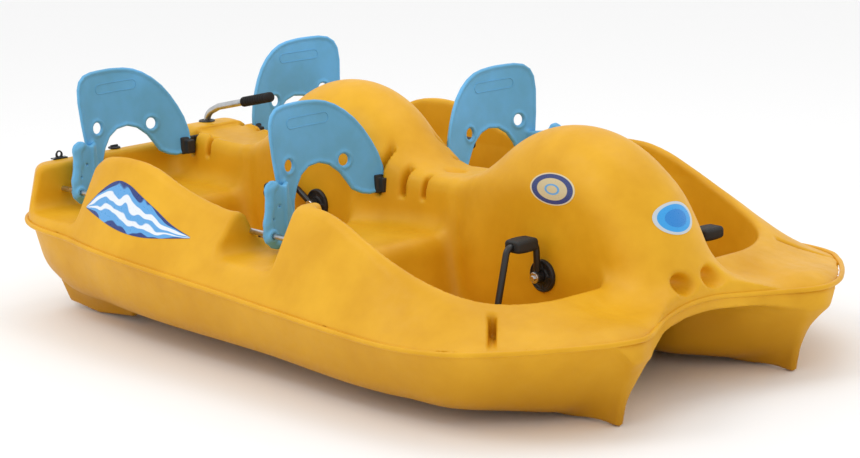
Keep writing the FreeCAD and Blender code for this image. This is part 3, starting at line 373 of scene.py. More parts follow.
def netted(shape, cut, low, high, cell, halved=True):
    """The surface of max(shape, cut) as points, quads and, for each point, whether it
    lies on the shape (0), on the cut (1) or where they meet (2).  A halved surface is
    its port half, ending on the centreline."""
    xs = np.arange(low[0], high[0] + cell, cell)
    ys = np.arange(-0.5 * cell if halved else low[1], high[1] + cell, cell)
    zs = np.arange(low[2], high[2] + cell, cell)
    a, b = grid_values(shape, xs, ys, zs), grid_values(cut, xs, ys, zs)
    value = np.maximum(a, b)
    inside = value < 0.0
    mixed = np.zeros([n - 1 for n in value.shape], bool)
    first = inside[:-1, :-1, :-1]
    for i, j, k in CORNERS[1:]:
        mixed |= first != inside[i:i + mixed.shape[0], j:j + mixed.shape[1], k:k + mixed.shape[2]]
    cells = np.argwhere(mixed)
    ids = np.full(mixed.shape, -1, np.int64)
    ids[mixed] = np.arange(len(cells))
    corner_a = np.stack([a[tuple((cells + c).T)] for c in CORNERS], 1)
    corner_b = np.stack([b[tuple((cells + c).T)] for c in CORNERS], 1)
    corner_v = np.maximum(corner_a, corner_b)
    total, count = np.zeros((len(cells), 3)), np.zeros(len(cells))
    on_a, on_b = np.zeros(len(cells), bool), np.zeros(len(cells), bool)
    for p, q in EDGES:
        vp, vq = corner_v[:, p], corner_v[:, q]
        hit = (vp < 0.0) != (vq < 0.0)
        t = np.where(hit, vp / np.where(hit, vp - vq, 1.0), 0.0)
        place = np.array(CORNERS[p]) + t[:, None] * (np.array(CORNERS[q]) - np.array(CORNERS[p]))
        total += np.where(hit[:, None], place, 0.0)
        count += hit
        ea = corner_a[:, p] + t * (corner_a[:, q] - corner_a[:, p])
        eb = corner_b[:, p] + t * (corner_b[:, q] - corner_b[:, p])
        on_a |= hit & (ea >= eb)
        on_b |= hit & (eb > ea)
    points = np.array([xs[0], ys[0], zs[0]]) + (cells + total / count[:, None]) * cell
    kind = np.where(on_a & on_b, 2, np.where(on_b, 1, 0))
    middle = (cells[:, 1] == 0) & halved
    points[middle, 1] = 0.0
    quads = []
    for axis in range(3):
        u, v = [(1, 2), (2, 0), (0, 1)][axis]
        ahead = [slice(None)] * 3
        behind = [slice(None)] * 3
        ahead[axis], behind[axis] = slice(1, None), slice(None, -1)
        flips = inside[tuple(ahead)] != inside[tuple(behind)]
        places = np.argwhere(flips)
        places = places[(places[:, u] > 0) & (places[:, v] > 0)]
        places = places[(places[:, u] < value.shape[u] - 1) & (places[:, v] < value.shape[v] - 1)]
        if axis == 1:
            places = places[places[:, 1] > 0]
        du, dv = np.zeros(3, int), np.zeros(3, int)
        du[u], dv[v] = 1, 1
        ring = [ids[tuple((places - shift).T)] for shift in (du + dv, dv, 0 * du, du)]
        ring = np.stack(ring, 1)
        enters = inside[tuple((places + np.eye(3, dtype=int)[axis]).T)]
        ring[enters] = ring[enters][:, ::-1]
        quads.append(ring)
    quads = np.concatenate(quads)
    for k in range(10):
        if k in (2, 4, 6):
            points = relaxed(points, quads, kind == 2, middle)
        for which, function in ((0, shape), (1, cut)):
            chosen = (kind == which) | (kind == 2)
            points[chosen] = settle(function, points[chosen], 0.5 * cell)
        points[middle, 1] = 0.0
    return points, quads, kind, middle


def relaxed(points, quads, held, middle):
    """Each point moved half way to the mean of its neighbours."""
    total, count = np.zeros_like(points), np.zeros(len(points))
    for k in range(4):
        a, b = quads[:, k], quads[:, (k + 1) % 4]
        for p, q in ((a, b), (b, a)):
            for axis in range(3):
                total[:, axis] += np.bincount(p, points[q, axis], len(points))
            count += np.bincount(p, minlength=len(points))
    mean = total / np.maximum(count, 1.0)[:, None]
    mean[middle, 1] = 0.0
    return np.where(held[:, None], points, 0.5 * (points + mean))


def quad_mesh(name, points, quads, loops=None):
    """A mesh of quads, with a normal for each face corner where they are given."""
    mesh = bpy.data.meshes.new(name)
    mesh.vertices.add(len(points))
    mesh.vertices.foreach_set("co", points.astype(np.float32).ravel())
    mesh.loops.add(quads.size)
    mesh.loops.foreach_set("vertex_index", quads.ravel().astype(np.int32))
    mesh.polygons.add(len(quads))
    mesh.polygons.foreach_set("loop_start", np.arange(0, quads.size, 4, dtype=np.int32))
    mesh.polygons.foreach_set("use_smooth", np.ones(len(quads), bool))
    mesh.update(calc_edges=True)
    if loops is not None:
        mesh.normals_split_custom_set(loops.reshape(-1, 3).tolist())
    return mesh


def unit_gradient(function, points):
    g = gradient(function, points, 0.0015)
    return g / np.maximum(np.linalg.norm(g, axis=1), 1e-9)[:, None]


def mirrored_mesh(name, points, quads, middle):
    """A whole mesh from its port half."""
    count = len(points)
    other = np.arange(count)
    other[~middle] = count + np.arange((~middle).sum())
    every = np.concatenate([points, points[~middle] * (1.0, -1.0, 1.0)])
    return quad_mesh(name, every, np.concatenate([quads, other[quads][:, ::-1]]))


def thinned(mesh, limit):
    """A copy with no more triangles than the limit, fewest where the surface is flat."""
    holder = bpy.data.objects.new(mesh.name, mesh)
    bpy.context.scene.collection.objects.link(holder)
    modifier = holder.modifiers.new("Thin", "DECIMATE")
    modifier.ratio = min(1.0, limit / (2.0 * len(mesh.polygons)))
    modifier.use_collapse_triangulate = True
    bpy.context.view_layer.update()
    thin = bpy.data.meshes.new_from_object(holder.evaluated_get(bpy.context.evaluated_depsgraph_get()))
    bpy.data.objects.remove(holder)
    thin.name = mesh.name
    return thin


def shade_from(mesh, shape, cut):
    """Gives each corner of a triangle mesh the normal of the surface its face lies on."""
    points = np.empty(len(mesh.vertices) * 3, np.float32)
    mesh.vertices.foreach_get("co", points)
    points = points.reshape(-1, 3).astype(np.float64)
    corners = np.empty(len(mesh.loops), np.int32)
    mesh.loops.foreach_get("vertex_index", corners)
    corners = corners.reshape(-1, 3)
    a, b, c = (points[corners[:, k]] for k in range(3))
    flat = np.cross(b - a, c - a)
    flat /= np.maximum(np.linalg.norm(flat, axis=1), 1e-12)[:, None]
    choices = [unit_gradient(shape, points)[corners], unit_gradient(cut, points)[corners]]
    match = [(choice.mean(1) * flat).sum(1) for choice in choices]
    normals = np.where((match[0] >= match[1])[:, None, None], choices[0], choices[1])
    stray = np.maximum(match[0], match[1]) < 0.5
    normals[stray] = flat[stray][:, None, :]
    mesh.polygons.foreach_set("use_smooth", np.ones(len(mesh.polygons), bool))
    mesh.normals_split_custom_set(normals.reshape(-1, 3).tolist())


def nowhere(x, y, z):
    """A cut that takes nothing away."""
    return np.zeros(np.broadcast(x, y, z).shape) - 1.0


def carved(name, shape, low, high, cell):
    """A whole smooth mesh of a shape lying between two corners."""
    points, quads, _, _ = netted(shape, nowhere, low, high, cell, halved=False)
    normals = gradient(shape, points, 0.2 * cell)
    normals /= np.maximum(np.linalg.norm(normals, axis=1), 1e-9)[:, None]
    return quad_mesh(name, points, quads, normals[quads])


def moved(mesh, name, shift=(0.0, 0.0, 0.0), mirror=False):
    """A copy of a mesh, mirrored across the centreline if asked, then shifted."""
    copy = mesh.copy()
    copy.name = name
    if mirror:
        copy.transform(Matrix.Diagonal((1.0, -1.0, 1.0, 1.0)))
        copy.flip_normals()
    copy.transform(Matrix.Translation(shift))
    return copy


# ------------------------------------------------------------------ turned and swept shapes
def crosswise(axis):
    """Two unit vectors square to an axis and to each other."""
    helper = np.array((0.0, 0.0, 1.0)) if abs(axis[2]) < 0.9 else np.array((1.0, 0.0, 0.0))
    first = np.cross(axis, helper)
    first /= np.linalg.norm(first)
    return first, np.cross(axis, first)


def skin_rows(rows, loop):
    """Faces between rows of point numbers; a row of one point closes an end."""
    faces = []
    for a, b in list(zip(rows, rows[1:])) + ([(rows[-1], rows[0])] if loop else []):
        for k in range(max(len(a), len(b))):
            n = k + 1
            ring = (a[k % len(a)], a[n % len(a)], b[n % len(b)], b[k % len(b)])
            face = tuple(dict.fromkeys(ring))
            if len(face) > 2:
                faces.append(face)
    return faces


def turned(profile, base, axis, sides=48):
    """A solid of revolution: (along, radius) points about a line from base."""
    axis = np.array(axis, float) / np.linalg.norm(axis)
    base = np.array(base, float)
    first, second = crosswise(axis)
    points, rows = [], []
    for along, radius in profile:
        start = len(points)
        count = sides if radius > 0.0 else 1
        for k in range(count):
            angle = 2.0 * math.pi * k / sides
            out = math.cos(angle) * first + math.sin(angle) * second
            points.append(base + axis * along + radius * out)
        rows.append(list(range(start, start + count)))
    return points, skin_rows(rows, profile[0][1] > 0.0 and profile[-1][1] > 0.0)


def swept(path, radius, sides=20, loop=False):
    """A round bar along a path; an open one has domed ends."""
    path = np.array(path, float)
    radii = np.full(len(path), float(radius))
    if not loop:
        ahead = path[-1] - path[-2]
        ahead /= np.linalg.norm(ahead)
        behind = path[0] - path[1]
        behind /= np.linalg.norm(behind)
        turns = [0.25 * math.pi * k / 2 for k in (1, 2, 3)]
        far = [path[-1] - ahead * radius * (0.5 - 0.5 * math.sin(t)) for t in turns]
        near = [path[0] - behind * radius * (0.5 - 0.5 * math.sin(t)) for t in turns]
        path = np.array(near[::-1] + [path[0] - behind * radius * 0.5] + list(path[1:-1])
                        + [path[-1] - ahead * radius * 0.5] + far)
        ends = [radius * (0.45 + 0.55 * math.cos(t)) for t in turns]
        radii = np.array(ends[::-1] + [radius] * (len(path) - 6) + ends)
        tangents = np.gradient(path, axis=0)
    else:
        tangents = np.roll(path, -1, 0) - np.roll(path, 1, 0)
    tangents /= np.linalg.norm(tangents, axis=1)[:, None]
    first, _ = crosswise(tangents[0])
    points, rows = [], []
    for place, tangent, size in zip(path, tangents, radii):
        first = first - tangent * np.dot(first, tangent)
        first /= np.linalg.norm(first)
        second = np.cross(tangent, first)
        rows.append(list(range(len(points), len(points) + sides)))
        for k in range(sides):
            angle = 2.0 * math.pi * k / sides
            points.append(place + size * (math.cos(angle) * first + math.sin(angle) * second))
    faces = skin_rows(rows, loop)
    if not loop:
        faces += [tuple(rows[0]), tuple(rows[-1])]
    return points, faces


def filleted(corners, radius, steps=8):
    """Straight runs between corner points with an easy bend at each."""
    corners = [np.array(c, float) for c in corners]
    path = [corners[0]]
    for before, corner, after in zip(corners, corners[1:], corners[2:]):
        back, on = before - corner, after - corner
        back_length, on_length = np.linalg.norm(back), np.linalg.norm(on)
        cosine = np.clip(np.dot(back, on) / back_length / on_length, -1.0, 1.0)
        half_turn = 0.5 * (math.pi - math.acos(cosine))
        reach = min(radius * math.tan(half_turn), 0.48 * back_length, 0.48 * on_length)
        start, end = corner + back * reach / back_length, corner + on * reach / on_length
        for k in range(steps + 1):
            t = k / steps
            path.append((1 - t) ** 2 * start + 2 * t * (1 - t) * corner + t * t * end)
    return path + [corners[-1]]


def shell_mesh(name, parts, crease=34.0):
    """One mesh of several closed shells, faces outward, creased where they turn sharply."""
    points, faces = [], []
    for part_points, part_faces in parts:
        shift = len(points)
        points += [tuple(p) for p in part_points]
        faces += [tuple(i + shift for i in face) for face in part_faces]
    mesh = bpy.data.meshes.new(name)
    mesh.from_pydata(points, [], faces)
    work = bmesh.new()
    work.from_mesh(mesh)
    bmesh.ops.recalc_face_normals(work, faces=work.faces)
    work.to_mesh(mesh)
    work.free()
    mesh.polygons.foreach_set("use_smooth", np.ones(len(mesh.polygons), bool))
    mesh.set_sharp_from_angle(angle=math.radians(crease))
    mesh.update()
    return mesh


def gathered(name, meshes):
    """Several meshes made into one."""
    work = bmesh.new()
    for mesh in meshes:
        work.from_mesh(mesh)
    whole = bpy.data.meshes.new(name)
    work.to_mesh(whole)
    work.free()
    return whole


def join_into(mesh, extra):
    """Adds a second mesh's shells to the first, keeping both sets of normals."""
    work = bmesh.new()
    work.from_mesh(mesh)
    work.from_mesh(extra)
    work.to_mesh(mesh)
    work.free()
    mesh.update()


def both_sides(name, mesh):
    """A port mesh and its mirror copy made into one."""
    return gathered(name, [mesh, moved(mesh, name + "_far", mirror=True)])


def box_distance(x, y, z, centre, half, radius):
    """Signed distance to a box with rounded edges."""
    q = [np.abs(v - c) - (h - radius) for v, c, h in zip((x, y, z), centre, half)]
    outside = np.sqrt(sum(np.maximum(v, 0.0) ** 2 for v in q))
    return outside + np.minimum(np.maximum(np.maximum(q[0], q[1]), q[2]), 0.0) - radius


def segment_distance(u, v, a, b):
    """Distance in a plane from the line between two points."""
    eu, ev = b[0] - a[0], b[1] - a[1]
    t = np.clip(((u - a[0]) * eu + (v - a[1]) * ev) / (eu * eu + ev * ev), 0.0, 1.0)
    return np.sqrt((u - a[0] - t * eu) ** 2 + (v - a[1] - t * ev) ** 2)


# ------------------------------------------------------------------ copies by geometry nodes
def repeated(name, source, count, turn=0.0, shift=(0.0, 0.0, 0.0)):
    """Copies of a mesh in a row, each turned about Y and shifted from the one before."""
    tree = bpy.data.node_groups.new(name + " copies", "GeometryNodeTree")
    tree.interface.new_socket("Geometry", in_out="INPUT", socket_type="NodeSocketGeometry")
    sockets = {}
    for label, kind in (("Count", "Int"), ("Turn", "Float"), ("Shift", "Vector"), ("Material", "Material")):
        sockets[label] = tree.interface.new_socket(label, in_out="INPUT", socket_type="NodeSocket" + kind)
    tree.interface.new_socket("Geometry", in_out="OUTPUT", socket_type="NodeSocketGeometry")
    nodes, links = tree.nodes, tree.links
    given, result = nodes.new("NodeGroupInput"), nodes.new("NodeGroupOutput")
    line = nodes.new("GeometryNodeMeshLine")
    links.new(given.outputs["Count"], line.inputs["Count"])
    links.new(given.outputs["Shift"], line.inputs["Offset"])
    angle = nodes.new("ShaderNodeMath")
    angle.operation = "MULTIPLY"
    links.new(nodes.new("GeometryNodeInputIndex").outputs[0], angle.inputs[0])
    links.new(given.outputs["Turn"], angle.inputs[1])
    about = nodes.new("ShaderNodeCombineXYZ")
    links.new(angle.outputs[0], about.inputs["Y"])
    rotation = nodes.new("FunctionNodeEulerToRotation")
    links.new(about.outputs[0], rotation.inputs[0])
    copies = nodes.new("GeometryNodeInstanceOnPoints")
    links.new(line.outputs["Mesh"], copies.inputs["Points"])
    links.new(given.outputs["Geometry"], copies.inputs["Instance"])
    links.new(rotation.outputs[0], copies.inputs["Rotation"])
    solid = nodes.new("GeometryNodeRealizeInstances")
    links.new(copies.outputs["Instances"], solid.inputs["Geometry"])
    painted = nodes.new("GeometryNodeSetMaterial")
    links.new(solid.outputs["Geometry"], painted.inputs["Geometry"])
    links.new(given.outputs["Material"], painted.inputs["Material"])
    links.new(painted.outputs["Geometry"], result.inputs["Geometry"])
    holder = bpy.data.objects.new(name, source)
    bpy.context.scene.collection.objects.link(holder)
    modifier = holder.modifiers.new("Copies", "NODES")
    modifier.node_group = tree
    modifier[sockets["Count"].identifier] = count
    modifier[sockets["Turn"].identifier] = turn
    modifier[sockets["Shift"].identifier] = shift
    bpy.context.view_layer.update()
    evaluated = holder.evaluated_get(bpy.context.evaluated_depsgraph_get())
    mesh = bpy.data.meshes.new_from_object(evaluated)
    bpy.data.objects.remove(holder)
    if len(mesh.vertices) != count * len(source.vertices):
        raise RuntimeError(name + ": the copies are missing")
    mesh.name = name
    return mesh


# ------------------------------------------------------------------ seatback
SEAT_OUTLINE = [(0.428, 0.731), (0.462, 0.730), (0.493, 0.724), (0.515, 0.708), (0.526, 0.684), (0.529, 0.643),
                (0.523, 0.571), (0.513, 0.500), (0.504, 0.430), (0.495, 0.368), (0.462, 0.372), (0.453, 0.410),
                (0.446, 0.455), (0.432, 0.489), (0.410, 0.520), (0.378, 0.540), (0.339, 0.545), (0.303, 0.534),
                (0.269, 0.507), (0.248, 0.477), (0.232, 0.452), (0.204, 0.437), (0.178, 0.431), (0.154, 0.434),
                (0.136, 0.448), (0.127, 0.476), (0.130, 0.510), (0.141, 0.552), (0.157, 0.588), (0.178, 0.625),
                (0.203, 0.658), (0.232, 0.685), (0.264, 0.706), (0.297, 0.720), (0.331, 0.727), (0.380, 0.731)]
EAR_OUTLINE = [(0.552, 0.532), (0.568, 0.537), (0.584, 0.528), (0.590, 0.508), (0.586, 0.480), (0.588, 0.455),
               (0.597, 0.425), (0.598, 0.395), (0.592, 0.366), (0.576, 0.345), (0.556, 0.339), (0.538, 0.342),
               (0.526, 0.360), (0.500, 0.372), (0.492, 0.400), (0.494, 0.440), (0.503, 0.480), (0.520, 0.512)]
EAR_BEAD = [(0.558, 0.522), (0.573, 0.512), (0.573, 0.468), (0.583, 0.415), (0.581, 0.372), (0.556, 0.354)]
SEAT_CENTRE_Y = 0.352
SEAT_RADIUS = 0.640
SEAT_RAKE = math.tan(math.radians(5.0))
SEAT_HOLES = ((0.458, 0.556), (0.252, 0.542))
EAR_AHEAD = 0.045


def seat_middle(y, z):
    """Where the panel's mid-surface lies, measured from the seat's own place along X."""
    return (y - SEAT_CENTRE_Y) ** 2 / (2.0 * SEAT_RADIUS) - 0.0035 - SEAT_RAKE * (z - ROD_Z)


def seat_distance(x, y, z):
    """Port seatback with its row at x = 0; negative inside."""
    flat = polygon_distance(y, z, SEAT_OUTLINE)
    for hole_y, hole_z in SEAT_HOLES:
        hole = 0.017 - np.sqrt((y - hole_y) ** 2 + (z - hole_z) ** 2)
        flat = smooth_max(flat, hole, 0.003)
    half = 0.0035 + 0.0034 * np.exp(-(((flat + 0.006) / 0.006) ** 2))
    slant = np.sqrt(1.0 + ((y - SEAT_CENTRE_Y) / SEAT_RADIUS) ** 2)
    panel = smooth_max(np.abs(x - seat_middle(y, z)) / slant - half, flat, 0.006)
    ear_flat = polygon_distance(y, z, EAR_OUTLINE)
    ear = smooth_max(np.abs(x - EAR_AHEAD) - 0.006, ear_flat, 0.005)
    path = None
    for a, b in zip(EAR_BEAD, EAR_BEAD[1:]):
        gap = segment_distance(y, z, a, b)
        path = gap if path is None else smooth_min(path, gap, 0.01)
    bead = np.sqrt(path ** 2 + (x - EAR_AHEAD) ** 2) - 0.0128
    ear = smooth_min(ear, bead, 0.006)
    dent = np.sqrt((y - 0.544) ** 2 + (z - 0.462) ** 2) - 0.004
    low_dent = np.sqrt((y - 0.568) ** 2 + (z - 0.428) ** 2) - 0.0035
    ear = smooth_max(ear, -np.minimum(dent, low_dent), 0.002)
    web_x = 0.010 + (y - 0.482) * 0.95
    web = smooth_max(np.abs(x - web_x) * 0.73 - 0.0075, np.maximum(0.480 - y, y - 0.523), 0.008)
    web = smooth_max(web, np.maximum(0.372 - z, z - 0.520), 0.010)
    from_rod = np.sqrt((y - ROD_Y) ** 2 + (z - ROD_Z) ** 2)
    boss = smooth_max(from_rod - 0.0175, np.abs(x - EAR_AHEAD) - 0.017, 0.004)
    body = smooth_min(smooth_min(panel, web, 0.012), smooth_min(ear, boss, 0.008), 0.012)
    bore = ROD_RADIUS + 0.0003 - from_rod
    return smooth_max(body, bore, 0.001)


def seat_pill():
    """A thin raised line in the shape of a pill on the front of the back panel."""
    path = []
    for centre, start in ((0.435, -0.5 * math.pi), (0.306, 0.5 * math.pi)):
        for k in range(13):
            angle = start + math.pi * k / 12
            path.append((centre + 0.0145 * math.cos(angle), 0.6725 + 0.0145 * math.sin(angle)))
    whole = []
    for (ya, za), (yb, zb) in zip(path, path[1:] + path[:1]):
        steps = 10 if abs(ya - yb) > 0.05 else 1
        for k in range(steps):
            y, z = ya + (yb - ya) * k / steps, za + (zb - za) * k / steps
            whole.append((seat_middle(y, z) + 0.0036, y, z))
    return swept(whole, 0.0014, 8, loop=True)


def tab_distance(x, y, z):
    """Port seat tab with its own centre at x = 0."""
    block = box_distance(x, y, z, (0.0, 0.126, 0.459), (0.0065, 0.036, 0.027), 0.004)
    bridge = box_distance(x, y, z, (0.014, 0.142, 0.457), (0.013, 0.014, 0.021), 0.003)
    groove = np.abs(y - 0.113) - 0.0015
    block = smooth_max(block, -np.maximum(groove, 0.0045 - np.abs(x)), 0.001)
    return smooth_min(block, bridge, 0.006)


# ------------------------------------------------------------------ drive
CRANK_ANGLE = {("front", "starboard"): 92.0, ("front", "port"): 200.0,
               ("rear", "starboard"): 150.0, ("rear", "port"): 258.0}
FLANGE_FACE = 0.172
CRANK_MIDDLE = 0.1845
AXLE_END = 0.1955
CRANK_THROW = 0.100


def crank_corners(row, side):
    sign = SIDES[side]
    angle = math.radians(CRANK_ANGLE[row, side])
    dx, dz = CRANK_THROW * math.cos(angle), CRANK_THROW * math.sin(angle)
    x, z = AXLE[row]
    start = (x + dx * 0.13, sign * CRANK_MIDDLE, z + dz * 0.13)
    return [start, (x + dx, sign * CRANK_MIDDLE, z + dz), (x + dx, sign * 0.2945, z + dz),
            (x - dx, sign * 0.3545, z - dz), (x - dx, sign * 0.4545, z - dz)]


def pedal_distance(x, y, z):
    """A pedal about its own pin, from y = 0 to its length."""
    bulge = 1.0 - 0.10 * ((y - 0.040) / 0.040) ** 2
    wide, thick = 0.0305 * bulge, 0.0185 * bulge
    radius = 0.011
    qx, qz = np.abs(x) - wide + radius, np.abs(z) - thick + radius
    outside = np.sqrt(np.maximum(qx, 0.0) ** 2 + np.maximum(qz, 0.0) ** 2)
    flat = outside + np.minimum(np.maximum(qx, qz), 0.0) - radius
    body = smooth_max(flat, np.abs(y - 0.040) - 0.0396, 0.008)
    ribs = np.maximum(0.0012 - np.abs((y - 0.004) % 0.012 - 0.006), 0.0)
    body = body + 0.9 * ribs * ease(np.abs(z), 0.012, 0.017)
    bore = 0.0098 - np.sqrt(x * x + z * z)
    return smooth_max(body, bore, 0.001)


def bearing_distance(x, y, z):
    """The disc on a dome's flank around the axle, which runs along Y from the origin."""
    radial = np.sqrt(x * x + z * z)
    disc = smooth_max(radial - 0.0458, np.maximum(DOME_HALF - y, y - FLANGE_FACE + 0.0002), 0.006)
    rim = smooth_max(np.abs(radial - 0.036) - 0.0025, y - FLANGE_FACE + 0.0025, 0.002)
    dish = smooth_max(radial - 0.039, FLANGE_FACE - 0.004 - y, 0.002)
    disc = smooth_max(disc, -smooth_max(dish, 0.0225 - radial, 0.002), 0.002)
    angle = np.arctan2(z, x)
    spoke = np.abs(np.sin(2.0 * angle)) * radial * 0.5 - 0.003
    spokes = smooth_max(spoke, np.maximum(radial - 0.040, y - FLANGE_FACE + 0.0012), 0.002)
    disc = smooth_min(disc, smooth_max(spokes, 0.160 - y, 0.002), 0.002)
    disc = smooth_min(disc, smooth_max(rim, 0.160 - y, 0.002), 0.001)
    sleeve = smooth_max(radial - 0.0170, np.maximum(0.108 - y, y - DOME_HALF - 0.005), 0.001)
    return smooth_max(np.minimum(disc, sleeve), 0.0112 - radial, 0.0006)


def paddle_wheel(name, blades):
    """Hub, two discs with raised rims and ribbed blades, about Y at the origin."""
    hub = [(-0.086, 0.0115), (-0.086, 0.040), (-0.082, 0.045), (0.082, 0.045), (0.086, 0.040),
           (0.086, 0.0115)]
    disc = [(0.0, 0.040), (0.0, 0.148), (0.001, 0.150), (0.005, 0.150), (0.006, 0.148), (0.006, 0.040)]
    steady = [turned(hub, (0, 0, 0), (0, 1, 0), 56), turned(disc, (0, -0.086, 0), (0, 1, 0), 72),
              turned(disc, (0, 0.080, 0), (0, 1, 0), 72)]

    def blade_distance(x, y, z):
        plate = box_distance(x, y, z, (0.132, 0.0, 0.0), (0.0925, 0.0858, 0.0025), 0.002)
        edge = box_distance(x, y, z, (0.2195, 0.0, 0.0), (0.005, 0.0858, 0.0045), 0.004)
        beside = np.abs(np.abs(y) - 0.030)
        ribs = box_distance(x, beside, z, (0.130, 0.0, 0.0), (0.085, 0.003, 0.0055), 0.002)
        return smooth_min(smooth_min(plate, edge, 0.004), ribs, 0.004)

    blade = carved("Blade", blade_distance, (0.036, -0.089, -0.008), (0.228, 0.089, 0.008), 0.0030)
    paddles = repeated(name + "_blades", blade, blades, 2.0 * math.pi / blades)
    return gathered(name, [shell_mesh("Hub", steady), paddles])


def add_piece(mesh, body, slot, material, *nodes):
    """Puts a mesh in the scene as the finished piece of a body and of its CAD nodes."""
    piece = bpy.data.objects.new(mesh.name, mesh)
    bpy.context.scene.collection.objects.link(piece)
    mesh.materials.clear()
    mesh.materials.append(material)
    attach(piece, body)
    if nodes:
        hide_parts(*nodes)
    return piece


# ------------------------------------------------------------------ materials
def new_material(name):
    material = bpy.data.materials.new(name)
    material.use_nodes = True
    return material, material.node_tree.nodes, material.node_tree.links


def noise(nodes, links, coordinate, scale, detail=3.0, roughness=0.5):
    node = nodes.new("ShaderNodeTexNoise")
    node.inputs["Scale"].default_value = scale
    node.inputs["Detail"].default_value = detail
    node.inputs["Roughness"].default_value = roughness
    links.new(coordinate, node.inputs["Vector"])
    return node.outputs["Fac"]


def ramp(nodes, links, value, low, high, out_low=0.0, out_high=1.0):
    node = nodes.new("ShaderNodeMapRange")
    sockets = {"From Min": low, "From Max": high, "To Min": out_low, "To Max": out_high}
    for socket, number in sockets.items():
        node.inputs[socket].default_value = number
    links.new(value, node.inputs["Value"])
    return node.outputs["Result"]


def mix_colour(nodes, links, factor, first, second):
    node = nodes.new("ShaderNodeMix")
    node.data_type = "RGBA"
    links.new(factor, node.inputs["Factor"])
    for socket, colour in (("A", first), ("B", second)):
        target = [s for s in node.inputs if s.name == socket and s.type == "RGBA"][0]
        if isinstance(colour, (tuple, list)):
            target.default_value = (*colour[:3], 1.0)
        else:
            links.new(colour, target)
    return [s for s in node.outputs if s.type == "RGBA"][0]


def moulded_plastic(name, colour, roughness=0.42, grain=260.0, grain_depth=0.15, specular=0.45, low_shade=1.0):
    """Moulded polyethylene: fine orange-peel grain, faint mottling and scuffs, with painted shade darkening
    its lower parts when the last argument is under 1.
    """
    material, nodes, links = new_material(name)
    shader = nodes["Principled BSDF"]
    shader.inputs["Specular IOR Level"].default_value = specular
    place = nodes.new("ShaderNodeTexCoord").outputs["Object"]
    deep = tuple(c * f for c, f in zip(colour, (0.90, 0.84, 0.75)))
    pale = tuple(min(1.0, c * 1.04 + 0.008) for c in colour)
    mottle = ramp(nodes, links, noise(nodes, links, place, 5.0, 4.0, 0.55), 0.35, 0.68)
    base = mix_colour(nodes, links, mottle, deep, pale)
    speck = ramp(nodes, links, noise(nodes, links, place, 420.0, 2.0), 0.62, 0.74, 0.0, 0.10)
    base = mix_colour(nodes, links, speck, base, pale)
    # Painted shade: the base colour is darkened towards the bottom (low object Z, with a noisy edge), standing
    # in for shade on the low sides.
    if low_shade < 1.0:
        split = nodes.new("ShaderNodeSeparateXYZ")
        links.new(place, split.inputs[0])
        edge = nodes.new("ShaderNodeMath")
        edge.operation = "MULTIPLY_ADD"
        links.new(noise(nodes, links, place, 9.0, 5.0, 0.6), edge.inputs[0])
        edge.inputs[1].default_value = 0.05
        links.new(split.outputs["Z"], edge.inputs[2])
        # Painted shade mask: 0 low down, where the shaded colour shows, rising to 1 higher up.
        shade_mask = ramp(nodes, links, edge.outputs[0], 0.06, 0.27)
        shaded_colour = tuple(c * f for c, f in zip(colour, (low_shade, low_shade * 0.88, low_shade * 0.5)))
        base = mix_colour(nodes, links, shade_mask, shaded_colour, base)
    links.new(base, shader.inputs["Base Color"])
    rough = ramp(nodes, links, noise(nodes, links, place, 38.0, 5.0, 0.65), 0.3, 0.7,
                 roughness - 0.06, roughness + 0.08)
    links.new(rough, shader.inputs["Roughness"])
    height = nodes.new("ShaderNodeMath")
    height.operation = "MULTIPLY_ADD"
    links.new(noise(nodes, links, place, grain, 3.0, 0.6), height.inputs[0])
    height.inputs[1].default_value = 0.5
    links.new(noise(nodes, links, place, 14.0, 2.0), height.inputs[2])
    bump = nodes.new("ShaderNodeBump")
    bump.inputs["Strength"].default_value = grain_depth
    bump.inputs["Distance"].default_value = 0.002
    links.new(height.outputs[0], bump.inputs["Height"])
    links.new(bump.outputs["Normal"], shader.inputs["Normal"])
    return material


def metal(name, colour, roughness, worn, scale=60.0):
    """Bare or plated metal with drawn streaks, dull patches and fine pits."""
    material, nodes, links = new_material(name)
    shader = nodes["Principled BSDF"]
    shader.inputs["Metallic"].default_value = 1.0
    place = nodes.new("ShaderNodeTexCoord").outputs["Object"]
    dull = tuple(c * worn for c in colour)
    patches = ramp(nodes, links, noise(nodes, links, place, 24.0, 4.0, 0.6), 0.38, 0.66)
    base = mix_colour(nodes, links, patches, dull, colour)
    links.new(base, shader.inputs["Base Color"])
    streaks = ramp(nodes, links, noise(nodes, links, place, scale, 5.0, 0.7), 0.3, 0.7,
                   roughness - 0.08, roughness + 0.14)
    links.new(streaks, shader.inputs["Roughness"])
    bump = nodes.new("ShaderNodeBump")
    bump.inputs["Strength"].default_value = 0.12
    bump.inputs["Distance"].default_value = 0.0006
    links.new(noise(nodes, links, place, 620.0, 2.0), bump.inputs["Height"])
    links.new(bump.outputs["Normal"], shader.inputs["Normal"])
    return material


